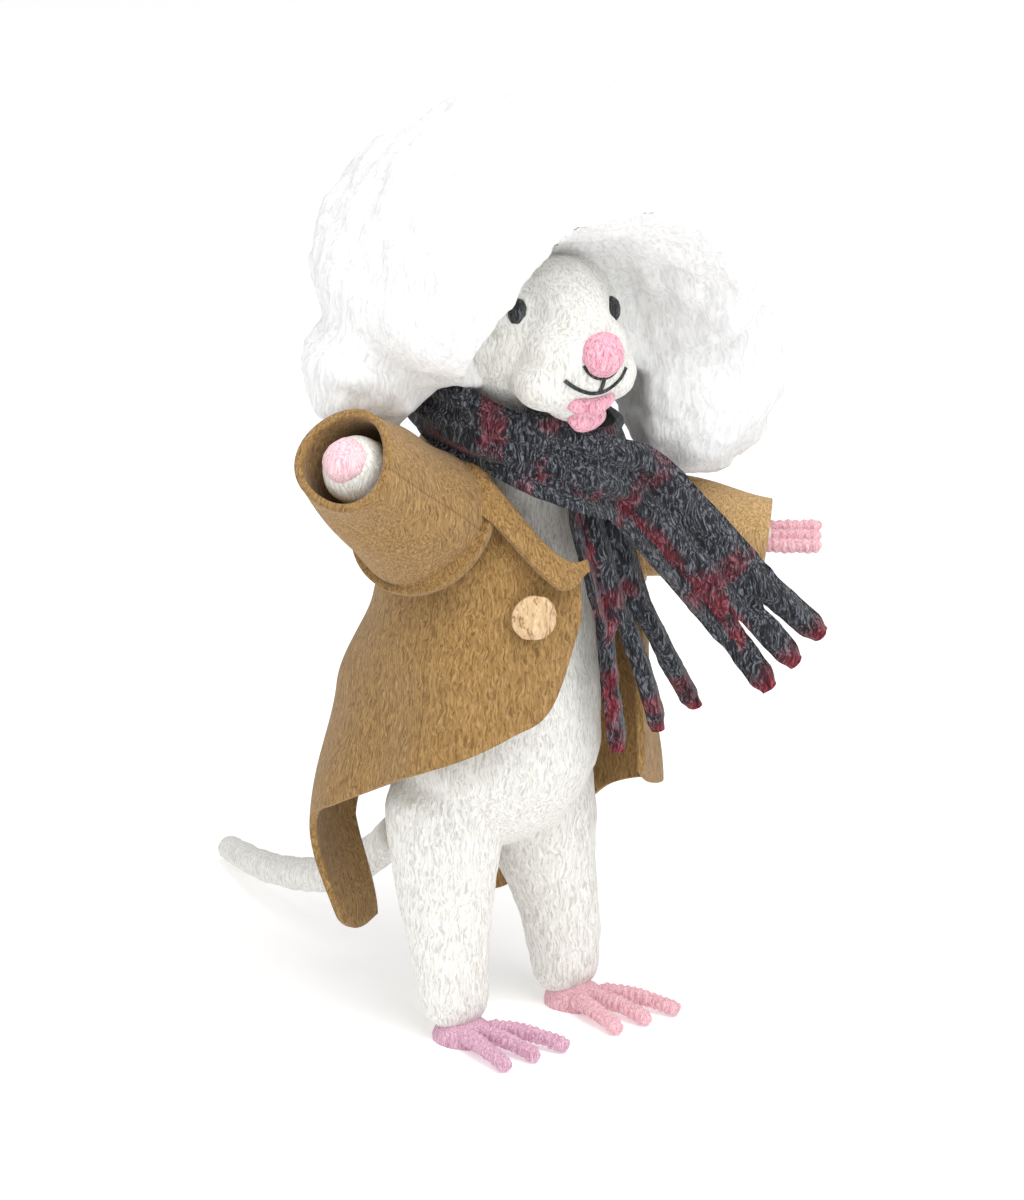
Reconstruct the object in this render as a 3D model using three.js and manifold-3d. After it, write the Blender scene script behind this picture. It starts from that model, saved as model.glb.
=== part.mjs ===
// A needle-felted mouse that stands on two feet, in a felt coat and a tartan scarf, with a cloud of wool hair.
// Millimetres, +Z up. The mouse faces -Y, so its own left side is +X.
// Wool and felt pieces are plain closed solids; wires run inside them through channels that open at a joint.

import * as THREE from 'three';
import { mergeVertices } from 'three/addons/utils/BufferGeometryUtils.js';
import Module from 'manifold-3d';

const wasm = await Module();
wasm.setup();

// ---- Clearances ----
const feltGap = 0.3; // between pieces that are felted, sewn or wrapped together
const swingGap = 0.5; // between a piece and the joint that it turns in
const wireGap = 0.25; // round a wire inside its wool

// ---- Standing body ----
const hipHeight = 36; // widest part of the hips above the floor
const torsoRise = 47; // from there up to the pivot of the raised right arm
const neckRise = 14.5; // from that pivot up to the bottom of the skull
const leftShoulderDrop = 5; // the left arm hangs lower
const hipHalfWidth = 17.5;
const hipHalfDepth = 14.5;
const hipSetBack = 3; // hips sit behind the neck by this much
const chestHalfWidth = 13.5;
const chestHalfDepth = 11.5;
const neckRadius = 8;
const neckAxisY = -3;
const shoulderHeight = hipHeight + torsoRise;

// ---- Legs and feet ----
const stanceHalfWidth = 12; // from the middle of the body to each ankle
const thighRadius = 8.6;
const ankleRadius = 4.4;
const soleHalfWidth = 4.6;
const soleHalfLength = 5.6;
const footHeight = 3.6;
const toeLength = 14;
const toeRadius = 1.3;
const toeSpread = 0.3; // sideways run of an outer toe for each unit forward
const toesPerFoot = 3;
const toeSink = 0.15; // flattened under the toe where it meets the floor

// ---- Arms and hands ----
const shoulderOutset = 0.2; // each arm pivots this far outside the scarf's outer face
const rightShoulderBall = 8.4; // wool ball that each arm turns on
const leftShoulderBall = 6.8;
const yokeRadius = 3; // wool that carries each ball from inside the chest
const rightArmDirection = new THREE.Vector3(-0.80, -0.15, 0.58).normalize();
const leftArmDirection = new THREE.Vector3(0.69, -0.69, -0.17).normalize();
const rightArmLength = 29;
const leftArmLength = 27.5;
const rightPawRadius = 5.2;
const leftPawRadius = 3.6;
const fingerRadius = 1.05;
const rightFingerReach = 2.5;
const leftFingerReach = 7.5;

// ---- Tail ----
const tailRootDrop = 5; // the tail starts this far below the widest part of the hips
const tailRootSink = 2; // and this far inside their back
const tailRadius = 2.9;
const tailTipRadius = 1.8;
const tailReach = 69; // from the root to the tip, measured straight back
const tailRootHeight = hipHeight - tailRootDrop;
const tailRootY = hipSetBack + hipHalfDepth - tailRootSink;

// ---- Head ----
const headTurn = THREE.MathUtils.degToRad(-11.5); // towards its own right
const skullRadius = 14.5;
const snoutSink = 3.5; // the middle of the snout is this far inside the front of the skull
const snoutDrop = 1.6; // the snout sits this much below the middle of the skull
const snoutHalfWidth = 8.6;
const snoutLength = 11;
const snoutHalfHeight = 8.2;
const noseRadius = 3.3;
const eyeHalfWidth = 1.5;
const eyeHalfHeight = 1.9;
const eyeSpacing = 8.3; // from the middle of the face to each eye
const earHalfWidth = 6;
const earThickness = 3;
const mouthThread = 0.45; // radius of the black thread of the mouth
const headHeight = shoulderHeight + neckRise + skullRadius;
const snoutCentreY = snoutSink - skullRadius; // from the neck axis

// ---- Hair ----
const hairRadius = 38;
const hairDepthShare = 0.94; // the cloud is a little shallower than it is wide
const hairToLeft = 3; // the cloud is fuller on its left
const hairAboveHead = 9; // its widest level is this far above the middle of the skull
const hairRise = 29;
const hairDrop = 22;
const hairlineY = -8.5; // the hair starts this far in front of the neck axis
const faceOpeningInner = 13; // radius of the opening close round the face
const faceOpeningOuter = 31; // and at the front of the hair
const hairMiddle = headHeight + hairAboveHead;

// ---- Coat ----
const clothThickness = 1.2; // craft felt
const coatSideEase = 7.5; // room beside the hips
const coatBackEase = 17.5; // and behind them, where the coat flares
const coatEase = 3; // room round the chest and the neck
const seamAngle = 80; // side seams, in degrees each way from the front
const rightEdgeAngle = -9; // front edge of the right panel, degrees from the front
const leftEdgeAngle = 43; // front edge of the left panel, which stands open
const coatTailBottom = 11.5;
const ventMiddle = 4; // the vent at the back lets the mouse's tail out, a little to its left
const ventHalfWidth = 7;
const ventRise = 29; // from the lower edge to the top of the vent
const frontCornerRise = 19; // the front corner of the hem above the widest part of the hips
const rightSleeveEase = 0.6; // room inside the sleeve's root round the shoulder ball
const leftSleeveEase = 0;
const rightCuffEase = 1.1; // room inside the cuff round the paw
const leftCuffEase = 0.6;
const sleeveStart = 3; // from the shoulder pivot to the sleeve's first edge
const armholeEase = 2; // room between the sleeve's root and the armhole's edge
const buttonRadius = 3.5;
const buttonThickness = 1.2;
const buttonAngle = -35;
const buttonDrop = 12; // below the shoulder's pivot
const coatHalfWidth = hipHalfWidth + coatSideEase;
const coatBackFlare = hipHalfDepth + coatBackEase;
const frontCornerHeight = hipHeight + frontCornerRise;
const sleeveRootRight = rightShoulderBall + rightSleeveEase + clothThickness;
const sleeveRootLeft = leftShoulderBall + leftSleeveEase + clothThickness;
const sleeveCuffRight = rightPawRadius + rightCuffEase + clothThickness;
const sleeveCuffLeft = leftPawRadius + leftCuffEase + clothThickness;
const armholeRadius = sleeveRootRight + armholeEase;
const buttonHeight = shoulderHeight - buttonDrop;

// ---- Scarf ----
const scarfThickness = 3;
const scarfHeight = 10.5;
const scarfBelowSkull = 1; // its middle level is this far below the skull
const skullOverScarf = 0.7; // the skull is wider than the scarf's inside, so that it rests on it
const scarfTilt = 6; // how far its highest point is above its middle level
const scarfLowSide = 50; // degrees from the front where it hangs lowest
const scarfTailThickness = 1.6;
const flyTailLength = 38;
const flyTailWidth = 13.5;
const hangTailLength = 38;
const hangTailWidth = 10;
const stripsPerTail = 3;
const scarfInnerRadius = Math.max(chestHalfWidth + feltGap, skullRadius - skullOverScarf);
const scarfLevel = headHeight - skullRadius - scarfBelowSkull;

// ---- Wire ----
const wireRadius = 0.8;

const axisX = new THREE.Vector3(1, 0, 0);
const axisY = new THREE.Vector3(0, 1, 0);
const axisZ = new THREE.Vector3(0, 0, 1);
const roundSides = 12;
const fineSides = 18;
const smallSides = 6;
const fullTurn = Math.PI * 2;

const V = (x, y, z) => new THREE.Vector3(x, y, z);

// ================= shaping helpers =================

// Only positions, with shared corners joined and every face pointing outwards
function bare(geometry) {
  geometry.deleteAttribute('normal');
  geometry.deleteAttribute('uv');
  const merged = mergeVertices(geometry, 1e-4);
  const place = merged.getAttribute('position');
  const index = merged.getIndex().array;
  const corners = [V(), V(), V()];
  const kept = [];
  let volume = 0;
  for (let i = 0; i < index.length; i += 3) {
    const [a, b, c] = [index[i], index[i + 1], index[i + 2]];
    if (a === b || b === c || a === c) continue;
    kept.push(a, b, c);
    corners.forEach((corner, k) => corner.fromBufferAttribute(place, index[i + k]));
    volume += corners[0].dot(corners[1].clone().cross(corners[2]));
  }
  if (volume < 0) kept.reverse();
  merged.setIndex(kept);
  return merged;
}

function solid(geometry) {
  const clean = bare(geometry);
  const mesh = new wasm.Mesh({
    numProp: 3,
    vertProperties: new Float32Array(clean.getAttribute('position').array),
    triVerts: new Uint32Array(clean.getIndex().array),
  });
  return new wasm.Manifold(mesh);
}

function geometryOf(body) {
  const mesh = body.getMesh();
  const geometry = new THREE.BufferGeometry();
  geometry.setAttribute('position', new THREE.BufferAttribute(new Float32Array(mesh.vertProperties), 3));
  geometry.setIndex(new THREE.BufferAttribute(new Uint32Array(mesh.triVerts), 1));
  return geometry;
}

function cut(body, ...others) {
  return others.reduce((left, other) => left.subtract(other), body);
}

function join(first, ...others) {
  return others.reduce((whole, other) => whole.add(other), first);
}

// Value at a share of the way along an evenly spaced list
function along(values, share) {
  const place = THREE.MathUtils.clamp(share, 0, 1) * (values.length - 1);
  const low = Math.min(Math.floor(place), values.length - 2);
  return THREE.MathUtils.lerp(values[low], values[low + 1], place - low);
}

// Value at x on a smooth line through [x, value] stops
function smoothStops(stops, x) {
  if (x <= stops[0][0]) return stops[0][1];
  for (let i = 1; i < stops.length; i++) {
    const [x0, y0] = stops[i - 1];
    const [x1, y1] = stops[i];
    if (x <= x1) return THREE.MathUtils.lerp(y0, y1, THREE.MathUtils.smoothstep(x, x0, x1));
  }
  return stops[stops.length - 1][1];
}

function ball(centre, rx, ry = rx, rz = rx, sides = fineSides) {
  const geometry = new THREE.SphereGeometry(1, sides, Math.round(sides / 2));
  geometry.rotateX(Math.PI / 2);
  geometry.scale(rx, ry, rz);
  geometry.translate(centre.x, centre.y, centre.z);
  return geometry;
}

// Everything below the floor, to be cut away
function belowFloor() {
  const depth = 20;
  const geometry = new THREE.BoxGeometry(300, 300, depth);
  geometry.translate(0, 0, -depth / 2);
  return solid(geometry);
}

// Moves a shape made round +Y, from y = 0 to y = 1, on to a curve; ref is a direction that the curve never takes
function bend(geometry, curve, ref) {
  const place = geometry.getAttribute('position');
  for (let i = 0; i < place.count; i++) {
    const share = place.getY(i);
    const tangent = curve.getTangentAt(THREE.MathUtils.clamp(share, 0, 1));
    const side = ref.clone().cross(tangent).normalize();
    const up = tangent.clone().cross(side);
    const point = curve.getPointAt(THREE.MathUtils.clamp(share, 0, 1));
    point.addScaledVector(side, place.getX(i)).addScaledVector(up, place.getZ(i));
    place.setXYZ(i, point.x, point.y, point.z);
  }
  return geometry;
}

// A round wool limb with rounded ends; widths and depths are half sizes, evenly spaced along it
function limb({ points, widths, depths = widths, ref, grow = 0, sides = roundSides, steps = 8 }) {
  const curve = new THREE.CatmullRomCurve3(points);
  const length = curve.getLength();
  const capSteps = 3;
  const shares = [];
  const startCap = Math.min(widths[0] / length, 0.4);
  const endCap = Math.min(widths[widths.length - 1] / length, 0.4);
  for (let i = 0; i <= capSteps; i++) shares.push(startCap * (1 - Math.cos((Math.PI / 2) * (i / capSteps))));
  for (let i = 1; i < steps; i++) shares.push(THREE.MathUtils.lerp(startCap, 1 - endCap, i / steps));
  for (let i = capSteps; i >= 0; i--) shares.push(1 - endCap * (1 - Math.cos((Math.PI / 2) * (i / capSteps))));
  const profile = shares.map((share) => {
    const fromEnd = Math.min(share / startCap, (1 - share) / endCap, 1);
    return new THREE.Vector2(Math.sqrt(Math.max(0, 1 - (1 - fromEnd) ** 2)), share);
  });
  const geometry = new THREE.LatheGeometry(profile, sides);
  const place = geometry.getAttribute('position');
  for (let i = 0; i < place.count; i++) {
    const share = place.getY(i);
    place.setX(i, place.getX(i) * (along(widths, share) + grow));
    place.setZ(i, place.getZ(i) * (along(depths, share) + grow));
  }
  return bend(geometry, curve, ref);
}

// A sleeve or cuff: a tube wall between two straight ends
function tubeWall({ start, direction, length, rootRadius, endRadius, ref, wall }) {
  const steps = 5;
  const outer = [];
  const inner = [];
  for (let i = 0; i <= steps; i++) {
    const share = i / steps;
    const radius = THREE.MathUtils.lerp(rootRadius, endRadius, share);
    outer.push(new THREE.Vector2(radius, share));
    inner.unshift(new THREE.Vector2(radius - wall, share));
  }
  const geometry = new THREE.LatheGeometry([...outer, ...inner, outer[0].clone()], fineSides - 4);
  const end = start.clone().addScaledVector(direction, length);
  return bend(geometry, new THREE.LineCurve3(start, end), ref);
}

// A round wire or yarn through a list of points
function strand(points, radius, sides = smallSides, steps = 10) {
  const section = new THREE.Shape();
  section.absarc(0, 0, radius, 0, fullTurn, false);
  const curve = new THREE.CatmullRomCurve3(points);
  return new THREE.ExtrudeGeometry(section, { extrudePath: curve, steps, curveSegments: sides / 2, bevelEnabled: false });
}

// A sheet of cloth: surface(u, v) is its inner face, and its wall is added outwards
function sheet(surface, wall, across, down) {
  const geometry = new THREE.BoxGeometry(1, 1, 1, across, down, 1);
  const place = geometry.getAttribute('position');
  const small = 1e-3;
  for (let i = 0; i < place.count; i++) {
    const u = place.getX(i) + 0.5;
    const v = place.getY(i) + 0.5;
    const depth = place.getZ(i) + 0.5;
    const runU = surface(u + small, v).sub(surface(u - small, v));
    const runV = surface(u, v + small).sub(surface(u, v - small));
    const point = surface(u, v).addScaledVector(runU.cross(runV).normalize(), depth * wall);
    place.setXYZ(i, point.x, point.y, point.z);
  }
  return geometry;
}

// ================= materials =================

function wool(colour, roughness = 0.95) {
  return new THREE.MeshStandardMaterial({ color: colour, roughness, metalness: 0 });
}

const whiteWool = wool(0xe8e7e2);
const hairWool = wool(0xf0f0ef, 0.8);
const pinkWool = wool(0xe3aab6);
const mauveWool = wool(0xd7a5b9);
const blackWool = wool(0x323434);
const coatFelt = wool(0x96703a);
const buttonFelt = wool(0xcdac80);
const tartan = wool(0x2e2f33);
const wireSteel = new THREE.MeshStandardMaterial({ color: 0x8c8c8c, roughness: 0.4, metalness: 1 });

const figure = new THREE.Group();

function piece(name, body, material, parent = figure) {
  const mesh = new THREE.Mesh(geometryOf(body), material.clone());
  mesh.name = name;
  parent.add(mesh);
  return mesh;
}

// ================= places that several pieces share =================

const neckTop = V(0, neckAxisY, headHeight - skullRadius + 2);
const skullCentre = V(0, neckAxisY, headHeight);
const shoulderHalfWidth = scarfInnerRadius + scarfThickness + shoulderOutset;
const rightShoulder = V(-shoulderHalfWidth, 0, shoulderHeight);
const leftShoulder = V(shoulderHalfWidth, -1, shoulderHeight - leftShoulderDrop);
const tailRoot = V(0, tailRootY, tailRootHeight);

const torsoPath = [
  V(0, hipSetBack, hipHeight - 8),
  V(0, hipSetBack, hipHeight + 4),
  V(0, hipSetBack - 0.5, (hipHeight + shoulderHeight) / 2 - 2),
  V(0, 0.5, shoulderHeight - 10),
  V(0, -1.5, shoulderHeight + 5),
  neckTop,
];

function torsoForm(grow) {
  return solid(limb({
    points: torsoPath,
    widths: [hipHalfWidth - 2, hipHalfWidth, hipHalfWidth - 0.5, chestHalfWidth + 1, chestHalfWidth - 2, neckRadius],
    depths: [hipHalfDepth - 2, hipHalfDepth, hipHalfDepth, chestHalfDepth + 0.5, chestHalfDepth - 1, neckRadius],
    ref: axisY,
    grow,
    sides: 18,
    steps: 7,
  }));
}

function legPoints(side) {
  const x = side * stanceHalfWidth;
  return [
    V(x * 0.8, 4.5, hipHeight + 8),
    V(x * 0.88, 3.5, hipHeight * 0.75),
    V(x, 1, hipHeight * 0.35),
    V(x, -0.5, footHeight - 1),
  ];
}

function footForm(side, grow) {
  const centre = V(side * stanceHalfWidth, -1.6, 0);
  return solid(ball(centre, soleHalfWidth + grow, soleHalfLength + grow, footHeight + grow, 18));
}

// Coordinates in the head's own frame: x to its left, y out of the face from the neck axis, z above the floor
function skullForm(grow) {
  return solid(ball(V(0, 0, headHeight), skullRadius + grow));
}

const snoutCentre = V(0, snoutCentreY, headHeight - snoutDrop);

function headForm(grow) {
  const snout = ball(snoutCentre, snoutHalfWidth + grow, snoutLength + grow, snoutHalfHeight + grow);
  return join(skullForm(grow), solid(snout));
}

// How far forward the head's surface is at a place on the face
function faceY(x, z) {
  const reach = (centreY, centreZ, rx, ry, rz) => {
    const rest = 1 - (x / rx) ** 2 - ((z - centreZ) / rz) ** 2;
    return rest > 0 ? centreY - ry * Math.sqrt(rest) : 0;
  };
  const skull = reach(0, headHeight, skullRadius, skullRadius, skullRadius);
  const snout = reach(snoutCentreY, snoutCentre.z, snoutHalfWidth, snoutLength, snoutHalfHeight);
  return Math.min(skull, snout);
}

// ================= wires =================

const spinePoints = [
  V(0, hipSetBack + 1, hipHeight + 2),
  V(0, hipSetBack - 1, hipHeight + 28),
  V(0, neckAxisY, shoulderHeight + 9),
  V(0, neckAxisY, headHeight - 5),
];

const shoulderPoints = [
  rightShoulder.clone().add(V(-rightShoulderBall - swingGap / 2, 0, 0)),
  V(0, 2, shoulderHeight - leftShoulderDrop / 2),
  leftShoulder.clone().add(V(leftShoulderBall + swingGap / 2, 0, 0)),
];

function legWirePoints(side) {
  const [hip, knee, shin] = legPoints(side);
  return [hip.clone().add(V(0, 0, 5)), knee, shin, V(side * stanceHalfWidth, -1, footHeight * 0.45)];
}

function wirePair(points, steps = 10) {
  return {
    wire: solid(strand(points, wireRadius, smallSides, steps)),
    channel: solid(strand(points, wireRadius + wireGap, smallSides, steps)),
  };
}

const spineWire = wirePair(spinePoints);
const shoulderWire = wirePair(shoulderPoints);
const legWires = [-1, 1].map((side) => wirePair(legWirePoints(side)));

piece('spine_wire', spineWire.wire, wireSteel);
piece('shoulder_wire', shoulderWire.wire, wireSteel);

// ================= body, legs and feet =================

function buildTorso() {
  const shoulders = [
    solid(ball(rightShoulder, rightShoulderBall)),
    solid(ball(leftShoulder, leftShoulderBall)),
  ];
  const yokes = [rightShoulder, leftShoulder].map((shoulder) => {
    const middle = V(0, shoulder.y, shoulder.z);
    return solid(strand([middle, middle.clone().lerp(shoulder, 0.5), shoulder], yokeRadius));
  });
  const headSocket = solid(ball(skullCentre, skullRadius + swingGap));
  const tailSocket = solid(ball(tailRoot, tailRadius + 0.6 + swingGap, undefined, undefined, 16));
  const channels = [spineWire.channel, shoulderWire.channel, ...legWires.map((pair) => pair.channel)];
  piece('torso', cut(join(torsoForm(0), ...shoulders, ...yokes), headSocket, tailSocket, ...channels), whiteWool);
}

function buildLeg(side, name, footColour) {
  const pair = legWires[side < 0 ? 0 : 1];
  const wholeLeg = solid(limb({
    points: legPoints(side),
    widths: [thighRadius, thighRadius, thighRadius * 0.72, ankleRadius],
    ref: axisY,
  }));
  const leg = cut(wholeLeg, torsoForm(feltGap), footForm(side, feltGap), pair.channel);
  piece(`${name}_leg`, leg, whiteWool);
  piece(`${name}_leg_wire`, pair.wire, wireSteel);
  piece(`${name}_foot`, cut(footForm(side, 0), belowFloor(), pair.channel), footColour);
  const middle = (toesPerFoot - 1) / 2;
  for (let i = 0; i < toesPerFoot; i++) {
    const lean = (i - middle) * toeSpread;
    const root = V(side * stanceHalfWidth + (i - middle) * 2.5, -soleHalfLength * 0.8, toeRadius + 0.4);
    const tip = root.clone().add(V(lean * toeLength, -toeLength, -0.4 - toeSink));
    const bendPoint = root.clone().lerp(tip, 0.5).add(V(0, 0, 0.5));
    const toe = solid(limb({
      points: [root, bendPoint, tip],
      widths: [toeRadius, toeRadius, toeRadius * 0.92],
      ref: axisZ,
      sides: smallSides,
      steps: 4,
    }));
    piece(`${name}_toe_${i + 1}`, cut(toe, footForm(side, feltGap), belowFloor()), footColour);
  }
}

buildTorso();
buildLeg(-1, 'right', mauveWool);
buildLeg(1, 'left', pinkWool);

// ================= tail =================

// Where the tail comes out between the two tails of the coat
const ventPoint = V(ventMiddle, tailRootY + 15.5, tailRootHeight - 11);

function buildTail() {
  const points = [
    tailRoot,
    V(ventMiddle * 0.4, tailRootY + 6.5, tailRootHeight - 4),
    ventPoint,
    V(ventMiddle, ventPoint.y + 9, tailRootHeight * 0.42),
    V(ventMiddle + 2.5, ventPoint.y + 20, tailRootHeight * 0.3),
    V(ventMiddle + 8, ventPoint.y + 35, tailRadius * 2),
    V(22, tailRootY + tailReach, tailTipRadius + 0.5),
  ];
  const body = solid(limb({
    points,
    widths: [tailRadius, tailRadius, tailRadius * 0.95, tailRadius * 0.85, tailRadius * 0.75, tailTipRadius],
    ref: axisX,
    sides: 10,
    steps: 13,
  }));
  const root = solid(ball(tailRoot, tailRadius + 0.6, undefined, undefined, 14));
  const pair = wirePair([tailRoot.clone().add(V(0, -tailRadius - 1, 1)), ...points.slice(1, -1)], 20);
  const shortWire = cut(pair.wire, solid(ball(tailRoot.clone().add(V(0, -1.5, 0.4)), tailRadius + 1.2)));
  piece('tail', cut(join(body, root), pair.channel, belowFloor()), whiteWool);
  piece('tail_wire', shortWire, wireSteel);
}

buildTail();

// ================= arms and hands =================

function fingerRow(count, spacing) {
  return Array.from({ length: count }, (_, i) => (i - (count - 1) / 2) * spacing);
}

function buildArm({ name, shoulder, direction, length, shoulderBall, pawRadius, sleeveRoot, sleeveCuff, fingers }) {
  const paw = shoulder.clone().addScaledVector(direction, length);
  const ballCut = solid(ball(shoulder, shoulderBall + swingGap));
  const arm = solid(limb({
    points: [shoulder, shoulder.clone().lerp(paw, 0.5), paw],
    widths: [pawRadius * 1.05, pawRadius * 0.95, pawRadius * 0.95, pawRadius],
    ref: axisZ,
    steps: 6,
  }));
  const pair = wirePair([shoulder, shoulder.clone().lerp(paw, 0.4), shoulder.clone().lerp(paw, 0.85)]);
  const holes = fingers.map(({ root, tip }) => solid(limb({
    points: [root, root.clone().lerp(tip, 0.5), tip],
    widths: [fingerRadius + feltGap, fingerRadius + feltGap],
    ref: axisZ,
    sides: smallSides,
    steps: 3,
  })));
  piece(`${name}_arm`, cut(arm, ballCut, pair.channel, ...holes), whiteWool);
  piece(`${name}_arm_wire`, cut(pair.wire, ballCut), wireSteel);
  const wallSolid = solid(tubeWall({
    start: shoulder.clone().addScaledVector(direction, sleeveStart),
    direction,
    length: length - sleeveStart - 1,
    rootRadius: sleeveRoot,
    endRadius: sleeveCuff,
    ref: axisZ,
    wall: clothThickness,
  }));
  piece(`${name}_sleeve`, wallSolid, coatFelt);
  fingers.forEach(({ root, tip }, i) => {
    const finger = solid(limb({
      points: [root, root.clone().lerp(tip, 0.5), tip],
      widths: [fingerRadius, fingerRadius * 0.95],
      ref: axisZ,
      sides: smallSides,
      steps: 3,
    }));
    piece(`${name}_finger_${i + 1}`, finger, pinkWool);
  });
}

// Four finger ends in a close row, low in the middle of the palm
function rightFingers() {
  const paw = rightShoulder.clone().addScaledVector(rightArmDirection, rightArmLength);
  const side = axisZ.clone().cross(rightArmDirection).normalize();
  return fingerRow(4, 2 * fingerRadius + 2 * feltGap).map((offset, i) => {
    const root = paw.clone().addScaledVector(rightArmDirection, -3).addScaledVector(side, offset);
    root.z += i % 2 ? 0.5 : -0.5;
    const tip = root.clone().addScaledVector(rightArmDirection, 3 + rightFingerReach);
    return { root, tip };
  });
}

// Three long fingers held level
function leftFingers() {
  const paw = leftShoulder.clone().addScaledVector(leftArmDirection, leftArmLength);
  const side = axisZ.clone().cross(leftArmDirection).normalize();
  const level = V(leftArmDirection.x, leftArmDirection.y, 0).normalize();
  return fingerRow(3, 2 * fingerRadius + 2 * feltGap).map((offset, i) => {
    const root = paw.clone().addScaledVector(leftArmDirection, -2.5).addScaledVector(side, offset);
    root.z += 0.5 * (i - 1);
    const tip = root.clone().addScaledVector(level, 2.5 + leftFingerReach).addScaledVector(side, offset * 0.25);
    return { root, tip };
  });
}

buildArm({
  name: 'right',
  shoulder: rightShoulder,
  direction: rightArmDirection,
  length: rightArmLength,
  shoulderBall: rightShoulderBall,
  pawRadius: rightPawRadius,
  sleeveRoot: sleeveRootRight,
  sleeveCuff: sleeveCuffRight,
  fingers: rightFingers(),
});

buildArm({
  name: 'left',
  shoulder: leftShoulder,
  direction: leftArmDirection,
  length: leftArmLength,
  shoulderBall: leftShoulderBall,
  pawRadius: leftPawRadius,
  sleeveRoot: sleeveRootLeft,
  sleeveCuff: sleeveCuffLeft,
  fingers: leftFingers(),
});

// ================= head, face and hair =================

const head = new THREE.Group();
head.position.set(0, neckAxisY, 0);
head.rotation.z = headTurn;
figure.add(head);

const eyeHeight = headHeight + 4.5;

function eyeForm(side, grow) {
  const x = side * eyeSpacing;
  const centre = V(x, faceY(x, eyeHeight) + 0.2, eyeHeight);
  return solid(ball(centre, eyeHalfWidth + grow, 1 + grow, eyeHalfHeight + grow, 12));
}

const noseCentre = V(0, snoutCentreY - snoutLength + 0.6, headHeight + 0.2);

function noseForm(grow) {
  return solid(ball(noseCentre, noseRadius + grow, noseRadius * 0.85 + grow, noseRadius + grow, 16));
}

const tongueCentre = V(0, snoutCentreY - snoutLength + 3.8, snoutCentre.z - snoutHalfHeight - 0.4);

function tongueForm(grow) {
  return solid(ball(tongueCentre, 4.1 + grow, 2.2 + grow, 2.4 + grow, 14));
}

// The black thread: an arc under the nose, a short drop, and the curve of the mouth
function mouthForm(grow) {
  const onFace = (x, z) => V(x, faceY(x, z) - 0.1, z);
  const radius = mouthThread + grow;
  const underNose = fingerRow(5, 1.9).map((x) => onFace(x, noseCentre.z - 4.2 + 0.11 * x * x));
  const drop = [onFace(0, noseCentre.z - 4), onFace(0, noseCentre.z - 5.4), onFace(0, noseCentre.z - 6.6)];
  const smile = fingerRow(5, 2.1).map((x) => onFace(x, noseCentre.z - 6.7 + 0.08 * x * x));
  return join(
    solid(strand(underNose, radius, 6, 10)),
    solid(strand(drop, radius, 6, 4)),
    solid(strand(smile, radius, 6, 10)),
  );
}

function earForm(side, grow) {
  const centre = V(side * (skullRadius + feltGap + earHalfWidth - 0.6), -1, headHeight + 2);
  return solid(ball(centre, earHalfWidth + grow, earThickness / 2 + grow, earHalfWidth * 1.1 + grow, 14));
}

function buildHead() {
  const socket = [
    V(0, 0, headHeight - skullRadius - 4),
    V(0, 0, headHeight - 10),
    V(0, 0, headHeight - 5 + 1),
  ];
  const socketForm = solid(strand(socket, wireRadius + swingGap, 12, 4));
  const holes = [noseForm(feltGap), tongueForm(feltGap), mouthForm(0.15), socketForm];
  for (const side of [-1, 1]) holes.push(eyeForm(side, feltGap));
  piece('head', cut(headForm(0), ...holes), whiteWool, head);
  piece('right_eye', eyeForm(-1, 0), blackWool, head);
  piece('left_eye', eyeForm(1, 0), blackWool, head);
  piece('nose', noseForm(0), pinkWool, head);
  piece('tongue', tongueForm(0), pinkWool, head);
  piece('mouth_thread', cut(mouthForm(0), noseForm(feltGap), tongueForm(feltGap)), blackWool, head);
  for (const [side, name] of [[-1, 'right_ear'], [1, 'left_ear']]) {
    piece(name, cut(earForm(side, 0), headForm(feltGap)), pinkWool, head);
  }
}

// A cloud of hair round the head, open at the face and over the scarf
function buildHair() {
  const steps = 8;
  const profile = [];
  for (let i = 0; i <= 2 * steps; i++) {
    const angle = (Math.PI / 2) * (i / steps - 1);
    const height = angle < 0 ? hairDrop : hairRise;
    const radius = i % (2 * steps) ? hairRadius * Math.cos(angle) : 0;
    profile.push(new THREE.Vector2(radius, hairMiddle + height * Math.sin(angle)));
  }
  const cloud = new THREE.LatheGeometry(profile, 28);
  cloud.rotateX(Math.PI / 2);
  cloud.scale(1, hairDepthShare, 1);
  cloud.translate(hairToLeft, 0, 0);
  const depth = hairRadius - skullRadius + 8;
  const opening = new THREE.CylinderGeometry(faceOpeningOuter, faceOpeningInner, depth, fineSides + 6);
  opening.rotateX(Math.PI);
  opening.translate(0, hairlineY - depth / 2, headHeight - 1);
  const overScarf = scarfInnerRadius + scarfThickness + 2;
  const collarTop = scarfLevel + scarfTilt + scarfHeight / 2 + 1.5;
  const collar = new THREE.CylinderGeometry(overScarf, overScarf, collarTop, fineSides);
  collar.rotateX(Math.PI / 2);
  collar.translate(0, 2, collarTop / 2);
  const ears = [-1, 1].map((side) => earForm(side, feltGap));
  const hair = cut(solid(cloud), headForm(feltGap), ...ears, solid(opening), solid(collar));
  piece('hair', hair, hairWool, head);
}

buildHead();
buildHair();

// ================= coat =================

const degrees = THREE.MathUtils.degToRad;

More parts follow.
